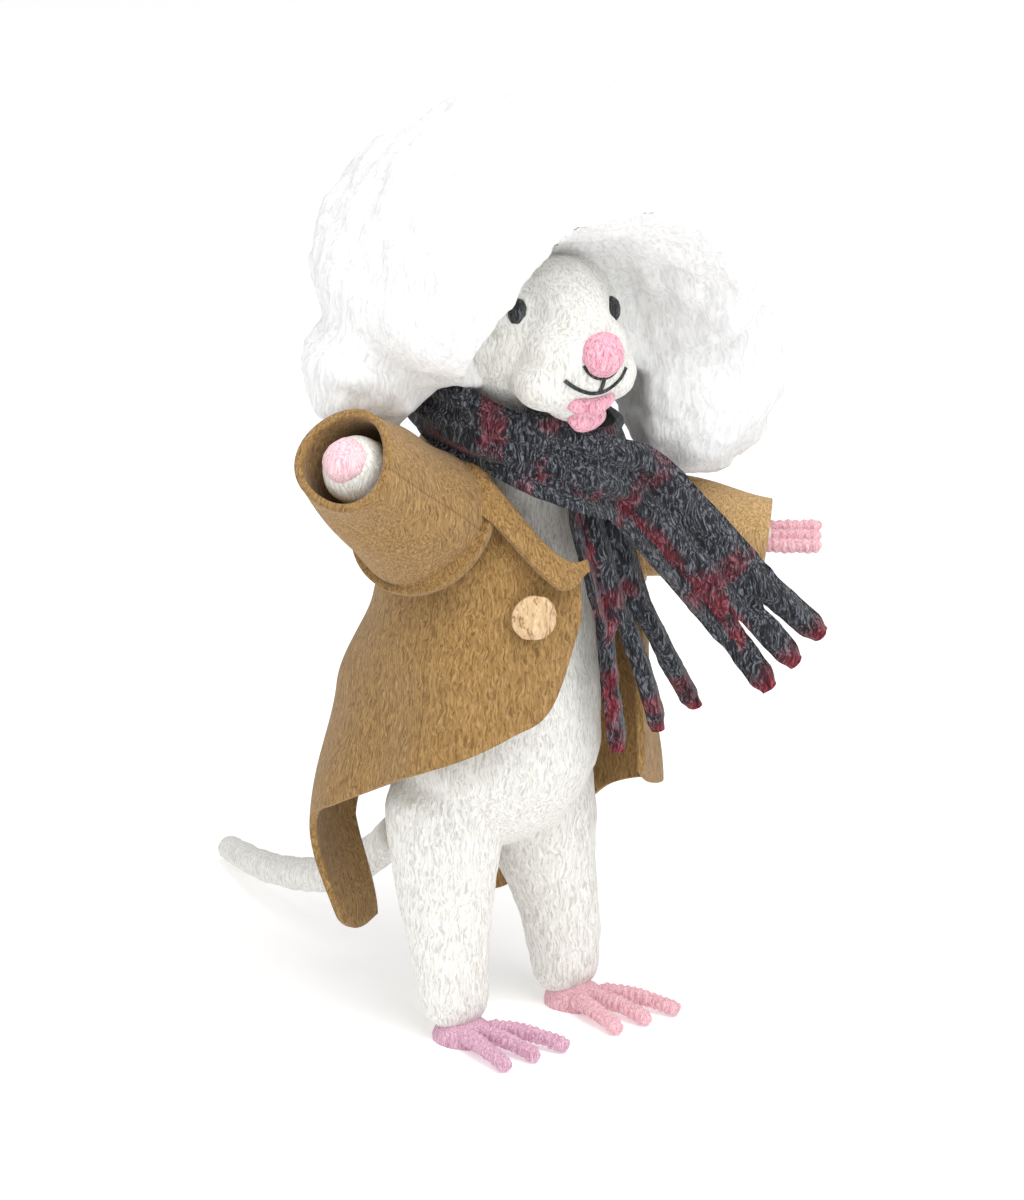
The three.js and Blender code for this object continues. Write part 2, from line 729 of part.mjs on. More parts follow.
// Half sizes of the coat to the front, the side and the back at each height
const coatTop = scarfLevel + 0.5;
const overShoulder = shoulderHeight + 3;
const coatLevels = {
  front: [
    [coatTailBottom, hipHalfDepth + coatEase + 0.5], [frontCornerHeight, hipHalfDepth + coatEase],
    [shoulderHeight - 11, hipHalfDepth + coatEase], [overShoulder, chestHalfDepth + coatEase],
    [coatTop, neckRadius + coatEase],
  ],
  side: [
    [coatTailBottom, coatHalfWidth - 1], [hipHeight - 1, coatHalfWidth],
    [hipHeight + 24, coatHalfWidth - 3.5], [shoulderHeight - 7, chestHalfWidth + coatEase + 1.7],
    [overShoulder, chestHalfWidth + coatEase - 0.5], [coatTop, neckRadius + coatEase + 0.5],
  ],
  back: [
    [coatTailBottom, coatBackFlare - 5], [hipHeight - 6, coatBackFlare], [hipHeight + 16, coatBackFlare - 5.5],
    [shoulderHeight - 15, hipHalfDepth + coatEase + 2], [overShoulder, chestHalfDepth + coatEase + 0.5],
    [coatTop, neckRadius + coatEase + 0.5],
  ],
};

// Inner face of the coat at an angle from the front (degrees, + to the left) and a height
function coatPoint(angle, z) {
  const a = degrees(angle);
  const front = smoothStops(coatLevels.front, z);
  const side = smoothStops(coatLevels.side, z);
  const back = smoothStops(coatLevels.back, z);
  const depth = Math.cos(a) > 0 ? front : back;
  const radius = 1 / Math.hypot(Math.sin(a) / side, Math.cos(a) / depth);
  return V(radius * Math.sin(a), -radius * Math.cos(a), z);
}

// Height of the hem at an angle from the front
function hemHeight(angle) {
  const rightSide = [
    [-180, coatTailBottom], [-152, coatTailBottom + 1.5], [-140, hipHeight - 6], [-122, hipHeight + 1],
    [-90, hipHeight + 9], [-45, frontCornerHeight - 3], [-26, frontCornerHeight],
    [rightEdgeAngle, frontCornerHeight + 13],
  ];
  const leftSide = [
    [leftEdgeAngle, hipHeight + 4], [60, hipHeight], [98, hipHeight - 5], [120, hipHeight - 15],
    [138, coatTailBottom + 0.5], [180, coatTailBottom],
  ];
  return angle < 0 ? smoothStops(rightSide, angle) : smoothStops(leftSide, angle);
}

function scarfCentre(angle) {
  return scarfLevel - scarfTilt * Math.cos(degrees(angle - scarfLowSide));
}

// Top edge: under the scarf at the back, falling to the open lapels at the front
function collarHeight(angle) {
  const underScarf = scarfCentre(angle) - scarfHeight / 2 - swingGap;
  const lapel = [[-95, underScarf], [-70, shoulderHeight + 10], [rightEdgeAngle, shoulderHeight - 6]];
  const leftLapel = [[leftEdgeAngle, shoulderHeight - 9], [seamAngle, shoulderHeight + 1], [100, underScarf]];
  if (Math.abs(angle) > 100) return underScarf;
  return Math.min(underScarf, angle < 0 ? smoothStops(lapel, angle) : smoothStops(leftLapel, angle));
}

function coatPanel(fromAngle, toAngle, across) {
  const turn = (angle) => (angle > 180 ? angle - 360 : angle);
  const surface = (u, v) => {
    const angle = turn(THREE.MathUtils.lerp(fromAngle, toAngle, u));
    return coatPoint(angle, THREE.MathUtils.lerp(hemHeight(angle), collarHeight(angle), v));
  };
  const armholes = [rightShoulder, leftShoulder].map((shoulder) => solid(ball(shoulder, armholeRadius)));
  return cut(solid(sheet(surface, clothThickness, across, 7)), ...armholes);
}

const seamGapAngle = 1; // degrees between two panels at a side seam

// A notch with straight sides and a pointed top, cut through the back of the coat
function ventForm() {
  const top = coatTailBottom + ventRise;
  const outline = new THREE.Shape([
    new THREE.Vector2(ventMiddle - ventHalfWidth, 0),
    new THREE.Vector2(ventMiddle + ventHalfWidth, 0),
    new THREE.Vector2(ventMiddle + ventHalfWidth, top - 2 * ventHalfWidth),
    new THREE.Vector2(ventMiddle, top),
    new THREE.Vector2(ventMiddle - ventHalfWidth, top - 2 * ventHalfWidth),
  ]);
  const geometry = new THREE.ExtrudeGeometry(outline, { depth: coatBackFlare, bevelEnabled: false });
  geometry.rotateX(Math.PI / 2);
  geometry.translate(0, coatBackFlare * 1.5, 0);
  return solid(geometry);
}

const coatBack = coatPanel(seamAngle + seamGapAngle, 360 - seamAngle - seamGapAngle, 20);
piece('coat_back', cut(coatBack, ventForm()), coatFelt);
piece('coat_front_right', coatPanel(-seamAngle, rightEdgeAngle, 8), coatFelt);
piece('coat_front_left', coatPanel(leftEdgeAngle, seamAngle, 5), coatFelt);

function buildButton() {
  const inner = coatPoint(buttonAngle, buttonHeight);
  const outward = V(inner.x, inner.y, 0).normalize();
  const button = new THREE.CylinderGeometry(buttonRadius, buttonRadius, buttonThickness, 16);
  button.rotateZ(-Math.PI / 2);
  button.rotateZ(Math.atan2(outward.y, outward.x));
  const curveAllowance = 0.75; // the coat bulges towards the flat button
  const centre = inner.addScaledVector(outward, clothThickness + curveAllowance + buttonThickness / 2);
  button.translate(centre.x, centre.y, centre.z);
  piece('button', solid(button), buttonFelt);
}

buildButton();

// ================= scarf =================

function buildScarfWrap() {
  const half = scarfHeight / 2;
  const outer = scarfInnerRadius + scarfThickness;
  const edge = 0.9;
  const profile = [
    [scarfInnerRadius + edge, -half], [outer - edge, -half], [outer, -half + edge * 1.5], [outer + 0.3, 0],
    [outer, half - edge * 1.5], [outer - edge, half], [scarfInnerRadius + edge, half],
    [scarfInnerRadius, half - edge], [scarfInnerRadius, -half + edge], [scarfInnerRadius + edge, -half],
  ].map(([radius, height]) => new THREE.Vector2(radius, height));
  const ring = new THREE.LatheGeometry(profile, 24);
  ring.rotateX(Math.PI / 2);
  const place = ring.getAttribute('position');
  for (let i = 0; i < place.count; i++) {
    const angle = THREE.MathUtils.radToDeg(Math.atan2(place.getX(i), -place.getY(i)));
    place.setZ(i, place.getZ(i) + scarfCentre(angle));
    place.setY(i, place.getY(i) - 1);
  }
  piece('scarf_wrap', solid(ring), tartan);
}

// A flat tail of cloth, cut into strips at its free end
function scarfTail({ root, run, across, length, width, cutShare, splay, curl }) {
  const normal = run.clone().cross(across).normalize();
  const strips = [];
  const stripWidth = width / stripsPerTail;
  const slit = 0.8;
  const middle = (stripsPerTail - 1) / 2;
  const surface = (offset, halfWidth, fan) => (u, v) => {
    const point = root.clone().addScaledVector(run, v * length);
    const free = Math.max(0, v - (1 - cutShare)) * length;
    point.addScaledVector(across, offset + (u - 0.5) * 2 * halfWidth + fan * splay * free);
    return point.addScaledVector(normal, curl * Math.sin(Math.PI * v));
  };
  const whole = solid(sheet(surface(0, width / 2, 0), scarfTailThickness, 2, 5));
  const ends = root.clone().addScaledVector(run, length * (1 - cutShare));
  const farBox = new THREE.BoxGeometry(length * 4, length * 4, length * 4);
  farBox.translate(0, 0, length * 2);
  farBox.applyQuaternion(new THREE.Quaternion().setFromUnitVectors(axisZ, run));
  farBox.translate(ends.x, ends.y, ends.z);
  const upper = cut(whole, solid(farBox));
  for (let i = 0; i < stripsPerTail; i++) {
    const offset = (i - middle) * stripWidth;
    const strip = solid(sheet(surface(offset, (stripWidth - slit) / 2, i - middle), scarfTailThickness, 1, 6));
    strips.push(strip);
  }
  return join(upper, ...strips);
}

// A place at an angle from the front, below the scarf's lower edge and outside its outer face
function lowerScarfPoint(angle, drop, outside) {
  const radius = scarfInnerRadius + scarfThickness + outside;
  const a = degrees(angle);
  return V(radius * Math.sin(a), -1 - radius * Math.cos(a), scarfCentre(angle) - scarfHeight / 2 - drop);
}

const flyRun = V(0.536, -0.378, -0.756).normalize();
const flyAcross = V(0.62, -0.29, 0.66).addScaledVector(flyRun, -V(0.62, -0.29, 0.66).dot(flyRun)).normalize();
const flyRoot = lowerScarfPoint(15, -2.5, 4);
const hangRun = V(0.28, -0.08, -0.95).normalize();
const hangAcross = V(1, -0.25, 0).addScaledVector(hangRun, -V(1, -0.25, 0).dot(hangRun)).normalize();
const hangRoot = lowerScarfPoint(6, 2.2, -scarfThickness / 2);

function buildScarfTails() {
  const fly = scarfTail({
    root: flyRoot, run: flyRun, across: flyAcross, length: flyTailLength, width: flyTailWidth,
    cutShare: 0.3, splay: 0.06, curl: 1.2,
  });
  piece('scarf_flying_tail', fly, tartan);
  const hang = scarfTail({
    root: hangRoot, run: hangRun, across: hangAcross, length: hangTailLength, width: hangTailWidth,
    cutShare: 0.45, splay: 0.25, curl: 0.8,
  });
  piece('scarf_hanging_tail', hang, tartan);
}

buildScarfWrap();
buildScarfTails();

// ================= origin: middle of the base of the whole figure =================

figure.updateMatrixWorld(true);
const box = new THREE.Box3().setFromObject(figure, true);
const part = new THREE.Group();
figure.position.set(-(box.min.x + box.max.x) / 2, -(box.min.y + box.max.y) / 2, -box.min.z);
part.add(figure);

export default part;
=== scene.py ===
"""A needle-felted mouse in a felt coat and a tartan scarf, with a cloud of white wool hair.

Lengths are millimetres from the middle point between the ankles, +Z up, the mouse facing -Y and its own left at +X.
They turn into metres in the row frame only when a mesh is made.
"""
import math

import bpy
import numpy as np
from mathutils import Matrix, Vector
from mathutils.bvhtree import BVHTree


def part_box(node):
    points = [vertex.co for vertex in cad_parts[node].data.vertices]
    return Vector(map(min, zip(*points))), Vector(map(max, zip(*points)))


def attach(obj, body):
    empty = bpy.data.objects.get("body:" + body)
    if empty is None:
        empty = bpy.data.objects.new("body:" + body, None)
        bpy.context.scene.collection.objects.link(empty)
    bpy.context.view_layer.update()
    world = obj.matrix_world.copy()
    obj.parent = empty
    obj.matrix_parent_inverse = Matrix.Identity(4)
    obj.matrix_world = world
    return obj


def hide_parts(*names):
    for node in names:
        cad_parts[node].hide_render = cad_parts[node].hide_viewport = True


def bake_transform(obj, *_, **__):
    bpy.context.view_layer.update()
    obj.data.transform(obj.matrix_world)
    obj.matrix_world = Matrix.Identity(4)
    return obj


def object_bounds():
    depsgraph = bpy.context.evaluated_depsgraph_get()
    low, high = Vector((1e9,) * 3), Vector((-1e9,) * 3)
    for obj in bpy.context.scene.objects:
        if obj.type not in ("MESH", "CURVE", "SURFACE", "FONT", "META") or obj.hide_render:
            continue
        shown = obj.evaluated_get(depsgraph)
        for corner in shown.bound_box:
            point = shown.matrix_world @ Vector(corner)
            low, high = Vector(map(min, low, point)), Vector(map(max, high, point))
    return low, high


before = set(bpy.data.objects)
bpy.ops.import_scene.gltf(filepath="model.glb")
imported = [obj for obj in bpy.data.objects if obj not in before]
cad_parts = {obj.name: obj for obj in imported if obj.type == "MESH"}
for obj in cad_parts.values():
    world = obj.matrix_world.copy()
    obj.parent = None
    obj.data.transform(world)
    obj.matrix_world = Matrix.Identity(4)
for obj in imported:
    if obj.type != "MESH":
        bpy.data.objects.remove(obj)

MM = 0.001
FELT = 1.2  # thickness of the coat's felt
SCARF_CLOTH = 1.3  # thickness of the scarf's cloth

cad_low, cad_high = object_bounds()
scene = bpy.context.scene


# ---------------- places ----------------

def node_middle(name):
    low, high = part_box(name)
    return (low + high) / 2


SOLE_SET_BACK = 1.6  # the middle of each sole is this far in front of the ankle
soles = (node_middle("right_foot") + node_middle("left_foot")) / 2
ORIGIN = Vector((soles.x, soles.y + SOLE_SET_BACK * MM, 0))


def metres(point):
    return ORIGIN + Vector(point) * MM


# ---------------- camera, light and floor ----------------

VIEW_AZIMUTH = -45
VIEW_HEIGHT = 18
LENS = 600
FRAME_HEIGHT = 182  # what the picture's long side takes in at the mouse, in millimetres
AIM = (0.2, -0.2, 67.2)


def direction(azimuth, elevation):
    a = math.radians(azimuth)
    e = math.radians(elevation)
    return Vector((math.sin(a) * math.cos(e), -math.cos(a) * math.cos(e), math.sin(e)))


def make_camera():
    data = bpy.data.cameras.new("camera")
    data.lens = LENS
    camera = bpy.data.objects.new("camera", data)
    scene.collection.objects.link(camera)
    back = direction(VIEW_AZIMUTH, VIEW_HEIGHT)
    camera.location = metres(AIM) + back * (FRAME_HEIGHT * MM * LENS / data.sensor_width)
    camera.rotation_mode = "QUATERNION"
    camera.rotation_quaternion = (-back).to_track_quat("-Z", "Y")
    data.clip_start = 0.01
    scene.camera = camera


def soft_light(name, azimuth, elevation, power, size, distance=0.6):
    data = bpy.data.lights.new(name, "AREA")
    data.energy = power
    data.size = size
    light = bpy.data.objects.new(name, data)
    scene.collection.objects.link(light)
    towards = direction(azimuth, elevation)
    light.location = metres(AIM) + towards * distance
    light.rotation_mode = "QUATERNION"
    light.rotation_quaternion = (-towards).to_track_quat("-Z", "Y")


def make_studio():
    world = bpy.data.worlds.new("studio")
    world.use_nodes = True
    world.node_tree.nodes["Background"].inputs["Color"].default_value = (1, 1, 1, 1)
    world.node_tree.nodes["Background"].inputs["Strength"].default_value = 0.6
    scene.world = world
    soft_light("key", -15, 58, 3.2, 0.5)
    soft_light("fill", -100, 30, 0.7, 0.6)
    bpy.ops.mesh.primitive_plane_add(size=8, location=(ORIGIN.x, ORIGIN.y, 0))
    floor = bpy.context.object
    floor.name = "floor"
    material = bpy.data.materials.new("pale_floor")
    material.use_nodes = True
    shader = material.node_tree.nodes["Principled BSDF"]
    shader.inputs["Base Color"].default_value = (0.9, 0.9, 0.9, 1)
    shader.inputs["Roughness"].default_value = 0.9
    shader.inputs["Emission Color"].default_value = (1, 1, 1, 1)
    shader.inputs["Emission Strength"].default_value = 0.3
    floor.data.materials.append(material)
    scene.view_settings.view_transform = "Standard"


make_camera()
make_studio()


# ---------------- mesh helpers ----------------

def make_mesh(name, points, faces):
    """A new object from points in millimetres."""
    mesh = bpy.data.meshes.new(name)
    mesh.from_pydata([metres(p) for p in points], [], faces)
    mesh.validate()
    piece = bpy.data.objects.new(name, mesh)
    scene.collection.objects.link(piece)
    for polygon in mesh.polygons:
        polygon.use_smooth = True
    return piece


def add_modifier(piece, kind, **settings):
    modifier = piece.modifiers.new(kind.lower(), kind)
    for key, value in settings.items():
        setattr(modifier, key, value)
    return modifier


def settle(piece):
    """Turns a piece with modifiers into a plain mesh."""
    graph = bpy.context.evaluated_depsgraph_get()
    mesh = bpy.data.meshes.new_from_object(piece.evaluated_get(graph))
    piece.modifiers.clear()
    old = piece.data
    piece.data = mesh
    mesh.name = piece.name
    bpy.data.meshes.remove(old)
    for polygon in mesh.polygons:
        polygon.use_smooth = True
    return piece


def joined(name, pieces):
    """One object from several, which are used up."""
    points = []
    faces = []
    for piece in pieces:
        start = len(points)
        points.extend(v.co.copy() for v in piece.data.vertices)
        faces.extend([start + i for i in polygon.vertices] for polygon in piece.data.polygons)
        bpy.data.objects.remove(piece)
    mesh = bpy.data.meshes.new(name)
    mesh.from_pydata(points, [], faces)
    whole = bpy.data.objects.new(name, mesh)
    scene.collection.objects.link(whole)
    return whole


def outward(piece):
    """Makes every face of a closed piece point out."""
    import bmesh
    net = bmesh.new()
    net.from_mesh(piece.data)
    bmesh.ops.recalc_face_normals(net, faces=net.faces)
    net.to_mesh(piece.data)
    net.free()
    return piece


def clouds(name, size):
    texture = bpy.data.textures.new(name, "CLOUDS")
    texture.noise_scale = size * MM
    texture.noise_depth = 2
    return texture


def lumpy(piece, size, depth):
    """Pushes a surface in and out by soft noise of that size, both in millimetres."""
    add_modifier(
        piece, "DISPLACE", texture=clouds(f"{piece.name}_{size}", size), strength=depth * MM,
        mid_level=0.5, texture_coords="LOCAL",
    )
    return piece


def along(values, share):
    place = min(max(share, 0), 1) * (len(values) - 1)
    low = min(int(place), len(values) - 2)
    return values[low] + (values[low + 1] - values[low]) * (place - low)


def smoothstep(x, low, high):
    t = min(max((x - low) / (high - low), 0), 1)
    return t * t * (3 - 2 * t)


def smooth_stops(stops, x):
    if x <= stops[0][0]:
        return stops[0][1]
    for (x0, y0), (x1, y1) in zip(stops, stops[1:]):
        if x <= x1:
            return y0 + (y1 - y0) * smoothstep(x, x0, x1)
    return stops[-1][1]


def spline(points, count):
    """count points, evenly spaced, on a smooth curve through the given ones, and the tangents there."""
    p = [Vector(q) for q in points]
    p = [p[0] * 2 - p[1]] + p + [p[-1] * 2 - p[-2]]
    fine = []
    for i in range(1, len(p) - 2):
        for k in range(24):
            t = k / 24
            fine.append(0.5 * (
                2 * p[i] + (p[i + 1] - p[i - 1]) * t
                + (2 * p[i - 1] - 5 * p[i] + 4 * p[i + 1] - p[i + 2]) * t * t
                + (3 * p[i] - p[i - 1] - 3 * p[i + 1] + p[i + 2]) * t * t * t
            ))
    fine.append(p[-2])
    length = [0]
    for a, b in zip(fine, fine[1:]):
        length.append(length[-1] + (b - a).length)
    out = []
    k = 0
    for i in range(count):
        goal = length[-1] * i / (count - 1)
        while k < len(fine) - 2 and length[k + 1] < goal:
            k += 1
        span = max(length[k + 1] - length[k], 1e-9)
        out.append(fine[k].lerp(fine[k + 1], min((goal - length[k]) / span, 1)))
    tangents = [(out[min(i + 1, count - 1)] - out[max(i - 1, 0)]).normalized() for i in range(count)]
    return out, tangents, length[-1]


def limb(name, points, widths, depths=None, ref=(0, 0, 1), sides=32, rings=40, ends=(1, 1), grow=0):
    """A round limb along a smooth curve with round ends; widths and depths are half sizes along it."""
    depths = depths or widths
    places, tangents, length = spline(points, 200)
    start_cap = min(widths[0] * ends[0] / length, 0.45)
    end_cap = min(widths[-1] * ends[1] / length, 0.45)
    shares = [start_cap * (1 - math.cos(math.pi / 2 * i / 8)) for i in range(9)]
    shares += [start_cap + (1 - start_cap - end_cap) * i / rings for i in range(1, rings)]
    shares += [1 - end_cap * (1 - math.cos(math.pi / 2 * i / 8)) for i in range(8, -1, -1)]
    net = []
    faces = []
    for share in shares:
        from_end = min(share / start_cap, (1 - share) / end_cap, 1)
        swell = math.sqrt(max(0, 1 - (1 - from_end) ** 2))
        k = min(int(share * 199), 198)
        centre = places[k].lerp(places[k + 1], share * 199 - k)
        tangent = tangents[k].lerp(tangents[k + 1], share * 199 - k).normalized()
        side = Vector(ref).cross(tangent).normalized()
        up = tangent.cross(side)
        for n in range(sides):
            turn = 2 * math.pi * n / sides
            x = math.cos(turn) * (along(widths, share) + grow) * swell
            y = math.sin(turn) * (along(depths, share) + grow) * swell
            net.append(centre + side * x + up * y)
    rows = len(shares)
    for r in range(rows - 1):
        for n in range(sides):
            m = (n + 1) % sides
            faces.append((r * sides + n, r * sides + m, (r + 1) * sides + m, (r + 1) * sides + n))
    piece = make_mesh(name, net, faces)
    return weld(piece)


def weld(piece, distance=0.001):
    import bmesh
    net = bmesh.new()
    net.from_mesh(piece.data)
    bmesh.ops.remove_doubles(net, verts=net.verts, dist=distance * MM)
    bmesh.ops.recalc_face_normals(net, faces=net.faces)
    net.to_mesh(piece.data)
    net.free()
    return piece


def ball(name, centre, rx, ry=None, rz=None, segments=40):
    ry = rx if ry is None else ry
    rz = rx if rz is None else rz
    net = []
    faces = []
    rows = segments // 2
    for r in range(rows + 1):
        polar = math.pi * r / rows
        for n in range(segments):
            turn = 2 * math.pi * n / segments
            net.append((
                centre[0] + rx * math.sin(polar) * math.cos(turn),
                centre[1] + ry * math.sin(polar) * math.sin(turn),
                centre[2] + rz * math.cos(polar),
            ))
    for r in range(rows):
        for n in range(segments):
            m = (n + 1) % segments
            faces.append((r * segments + n, (r + 1) * segments + n, (r + 1) * segments + m, r * segments + m))
    return weld(make_mesh(name, net, faces))


def tube(name, points, radius, sides=8, count=40, radii=None):
    """A closed round strand through the points."""
    widths = radii or [radius, radius]
    places, tangents, length = spline(points, count)
    ref = Vector((0.13, 0.21, 0.97))
    net = []
    faces = []
    for i in range(count):
        side = ref.cross(tangents[i]).normalized()
        up = tangents[i].cross(side)
        r = along(widths, i / (count - 1))
        for n in range(sides):
            turn = 2 * math.pi * n / sides
            net.append(places[i] + side * math.cos(turn) * r + up * math.sin(turn) * r)
    for i in range(count - 1):
        for n in range(sides):
            m = (n + 1) % sides
            faces.append((i * sides + n, i * sides + m, (i + 1) * sides + m, (i + 1) * sides + n))
    faces.append(tuple(range(sides - 1, -1, -1)))
    faces.append(tuple((count - 1) * sides + n for n in range(sides)))
    return outward(make_mesh(name, net, faces))


def felted(piece, voxel, smooth=6, lumps=((6, 0.5), (1.6, 0.16))):
    """Wool worked into one skin: remeshed, smoothed, then left a little lumpy."""
    add_modifier(piece, "REMESH", mode="VOXEL", voxel_size=voxel * MM)
    add_modifier(piece, "SMOOTH", factor=0.5, iterations=smooth)
    for size, depth in lumps:
        lumpy(piece, size, depth)
    return settle(piece)


def carve(piece, tool):
    """Cuts the tool's shape out of a piece and removes the tool."""
    add_modifier(piece, "BOOLEAN", operation="DIFFERENCE", object=tool, solver="EXACT")
    settle(piece)
    bpy.data.objects.remove(tool)
    return piece


# ---------------- finishes ----------------

def colour(r, g, b):
    """An sRGB colour of 0 to 255 as the shader's linear colour."""
    def linear(c):
        c /= 255
        return c / 12.92 if c <= 0.04045 else ((c + 0.055) / 1.055) ** 2.4
    return (linear(r), linear(g), linear(b), 1)


def new_group(name, inputs, outputs):
    """A shader node group with named sockets; inputs are (name, kind, default)."""
    tree = bpy.data.node_groups.new(name, "ShaderNodeTree")
    for label, kind, default in inputs:
        socket = tree.interface.new_socket(label, in_out="INPUT", socket_type=kind)
        socket.default_value = default
    for label, kind in outputs:
        tree.interface.new_socket(label, in_out="OUTPUT", socket_type=kind)
    return tree


def node(tree, kind, links=None, **settings):
    """A node with its settings; links maps an input's name or place to a socket or a value."""
    made = tree.nodes.new(kind)
    for key, value in settings.items():
        setattr(made, key, value)
    for key, value in (links or {}).items():
        socket = made.inputs[key]
        if isinstance(value, bpy.types.NodeSocket):
            tree.links.new(value, socket)
        else:
            socket.default_value = value
    return made


def maths(tree, operation, a, b=0.0):
    return node(tree, "ShaderNodeMath", {0: a, 1: b}, operation=operation).outputs[0]


def mixed(tree, factor, a, b):
    made = node(tree, "ShaderNodeMix", data_type="RGBA")
    for place, value in ((0, factor), (6, a), (7, b)):
        if isinstance(value, bpy.types.NodeSocket):
            tree.links.new(value, made.inputs[place])
        else:
            made.inputs[place].default_value = value
    return made.outputs[2]


def make_matted_fibres():
    """Short fibres matted in all directions: a colour that varies, and a height for the bump."""
    tree = new_group(
        "matted_fibres",
        [("Main", "NodeSocketColor", (1, 1, 1, 1)), ("Light", "NodeSocketColor", (1, 1, 1, 1)),
         ("Dark", "NodeSocketColor", (0, 0, 0, 1)), ("Fibre size", "NodeSocketFloat", 0.5)],
        [("Colour", "NodeSocketColor"), ("Height", "NodeSocketFloat")],
    )
    given = node(tree, "NodeGroupInput").outputs
    place = node(tree, "ShaderNodeTexCoord").outputs["Object"]
    fineness = maths(tree, "DIVIDE", 1 / MM, given["Fibre size"])
    warp = node(tree, "ShaderNodeTexNoise", {"Vector": place, "Scale": 300.0, "Detail": 2.0})
    pushed = node(tree, "ShaderNodeVectorMath", {0: warp.outputs["Color"], 1: (0.0022, 0.0022, 0.0022)},
                  operation="MULTIPLY").outputs[0]
    bent = node(tree, "ShaderNodeVectorMath", {0: place, 1: pushed}, operation="ADD").outputs[0]
    strands = []
    for turn in ((0.3, 0.2, 0.1), (1.2, 0.5, 0.9), (0.4, 1.5, 0.3)):
        mapping = node(tree, "ShaderNodeMapping", {"Vector": bent, "Rotation": turn, "Scale": (1, 1, 0.12)})
        noise = node(tree, "ShaderNodeTexNoise", {"Vector": mapping.outputs[0], "Scale": fineness, "Detail": 2.0})
        strands.append(noise.outputs["Fac"])
    highest = maths(tree, "MAXIMUM", maths(tree, "MAXIMUM", strands[0], strands[1]), strands[2])
    lowest = maths(tree, "MINIMUM", maths(tree, "MINIMUM", strands[0], strands[1]), strands[2])
    light = node(tree, "ShaderNodeMapRange", {"Value": highest, "From Min": 0.56, "From Max": 0.72}).outputs[0]
    dark = node(tree, "ShaderNodeMapRange", {"Value": lowest, "From Min": 0.44, "From Max": 0.30}).outputs[0]
    tone = mixed(tree, light, given["Main"], given["Light"])
    tone = mixed(tree, dark, tone, given["Dark"])
    sent = node(tree, "NodeGroupOutput")
    tree.links.new(tone, sent.inputs["Colour"])
    tree.links.new(maths(tree, "ADD", highest, lowest), sent.inputs["Height"])
    return tree


MATTED = make_matted_fibres()


def shader_of(material):
    material.use_nodes = True
    return material.node_tree.nodes["Principled BSDF"]


def wool_finish(name, main, light, dark, fibre=0.35, bump=0.25, sheen=0.15, soft=0.0):
    """Felted wool: matted fibres in the colour and the bump."""
    material = bpy.data.materials.new(name)
    shader = shader_of(material)
    tree = material.node_tree
    group = node(tree, "ShaderNodeGroup", node_tree=MATTED)
    group.inputs["Main"].default_value = main
    group.inputs["Light"].default_value = light
    group.inputs["Dark"].default_value = dark
    group.inputs["Fibre size"].default_value = fibre
    bumped = node(tree, "ShaderNodeBump", {"Height": group.outputs["Height"], "Strength": bump, "Distance": 0.0004})
    tree.links.new(group.outputs["Colour"], shader.inputs["Base Color"])
    tree.links.new(bumped.outputs[0], shader.inputs["Normal"])
    shader.inputs["Roughness"].default_value = 0.95
    shader.inputs["Specular IOR Level"].default_value = 0.15
    shader.inputs["Sheen Weight"].default_value = sheen
    shader.inputs["Sheen Roughness"].default_value = 0.6
    if soft:
        shader.inputs["Subsurface Weight"].default_value = soft
        shader.inputs["Subsurface Radius"].default_value = (0.003, 0.003, 0.003)
    return material


def fibre_finish(name, tone, rough=0.7):
    """A single wool fibre of one plain colour."""
    material = bpy.data.materials.new(name)
    shader = shader_of(material)
    shader.inputs["Base Color"].default_value = tone
    shader.inputs["Roughness"].default_value = rough
    shader.inputs["Specular IOR Level"].default_value = 0.2
    return material


WHITE = wool_finish("white_wool", colour(228, 227, 221), colour(246, 246, 243), colour(196, 195, 187))
PINK = wool_finish("pink_wool", colour(226, 176, 184), colour(240, 208, 212), colour(196, 134, 148), fibre=0.22)
MAUVE = wool_finish("mauve_wool", colour(206, 160, 180), colour(232, 200, 212), colour(172, 120, 146), fibre=0.22)
ROSE = wool_finish("rose_wool", colour(228, 166, 182), colour(242, 200, 210), colour(186, 112, 136), fibre=0.28)
PALM = wool_finish("palm_wool", colour(236, 200, 206), colour(246, 226, 228), colour(214, 152, 168), fibre=0.3)
BLACK = wool_finish("black_wool", colour(46, 47, 48), colour(96, 98, 100), colour(22, 22, 24), fibre=0.3)
FELT_OUT = wool_finish("coat_felt", colour(150, 116, 68), colour(178, 143, 92), colour(112, 84, 46), fibre=0.3, bump=0.25)
FELT_LEFT = wool_finish("sleeve_felt", colour(186, 152, 104), colour(210, 178, 130), colour(148, 114, 70), fibre=0.3,
                        bump=0.25)
FELT_BUTTON = wool_finish("button_felt", colour(206, 174, 132), colour(226, 200, 164), colour(140, 106, 70), fibre=0.5)


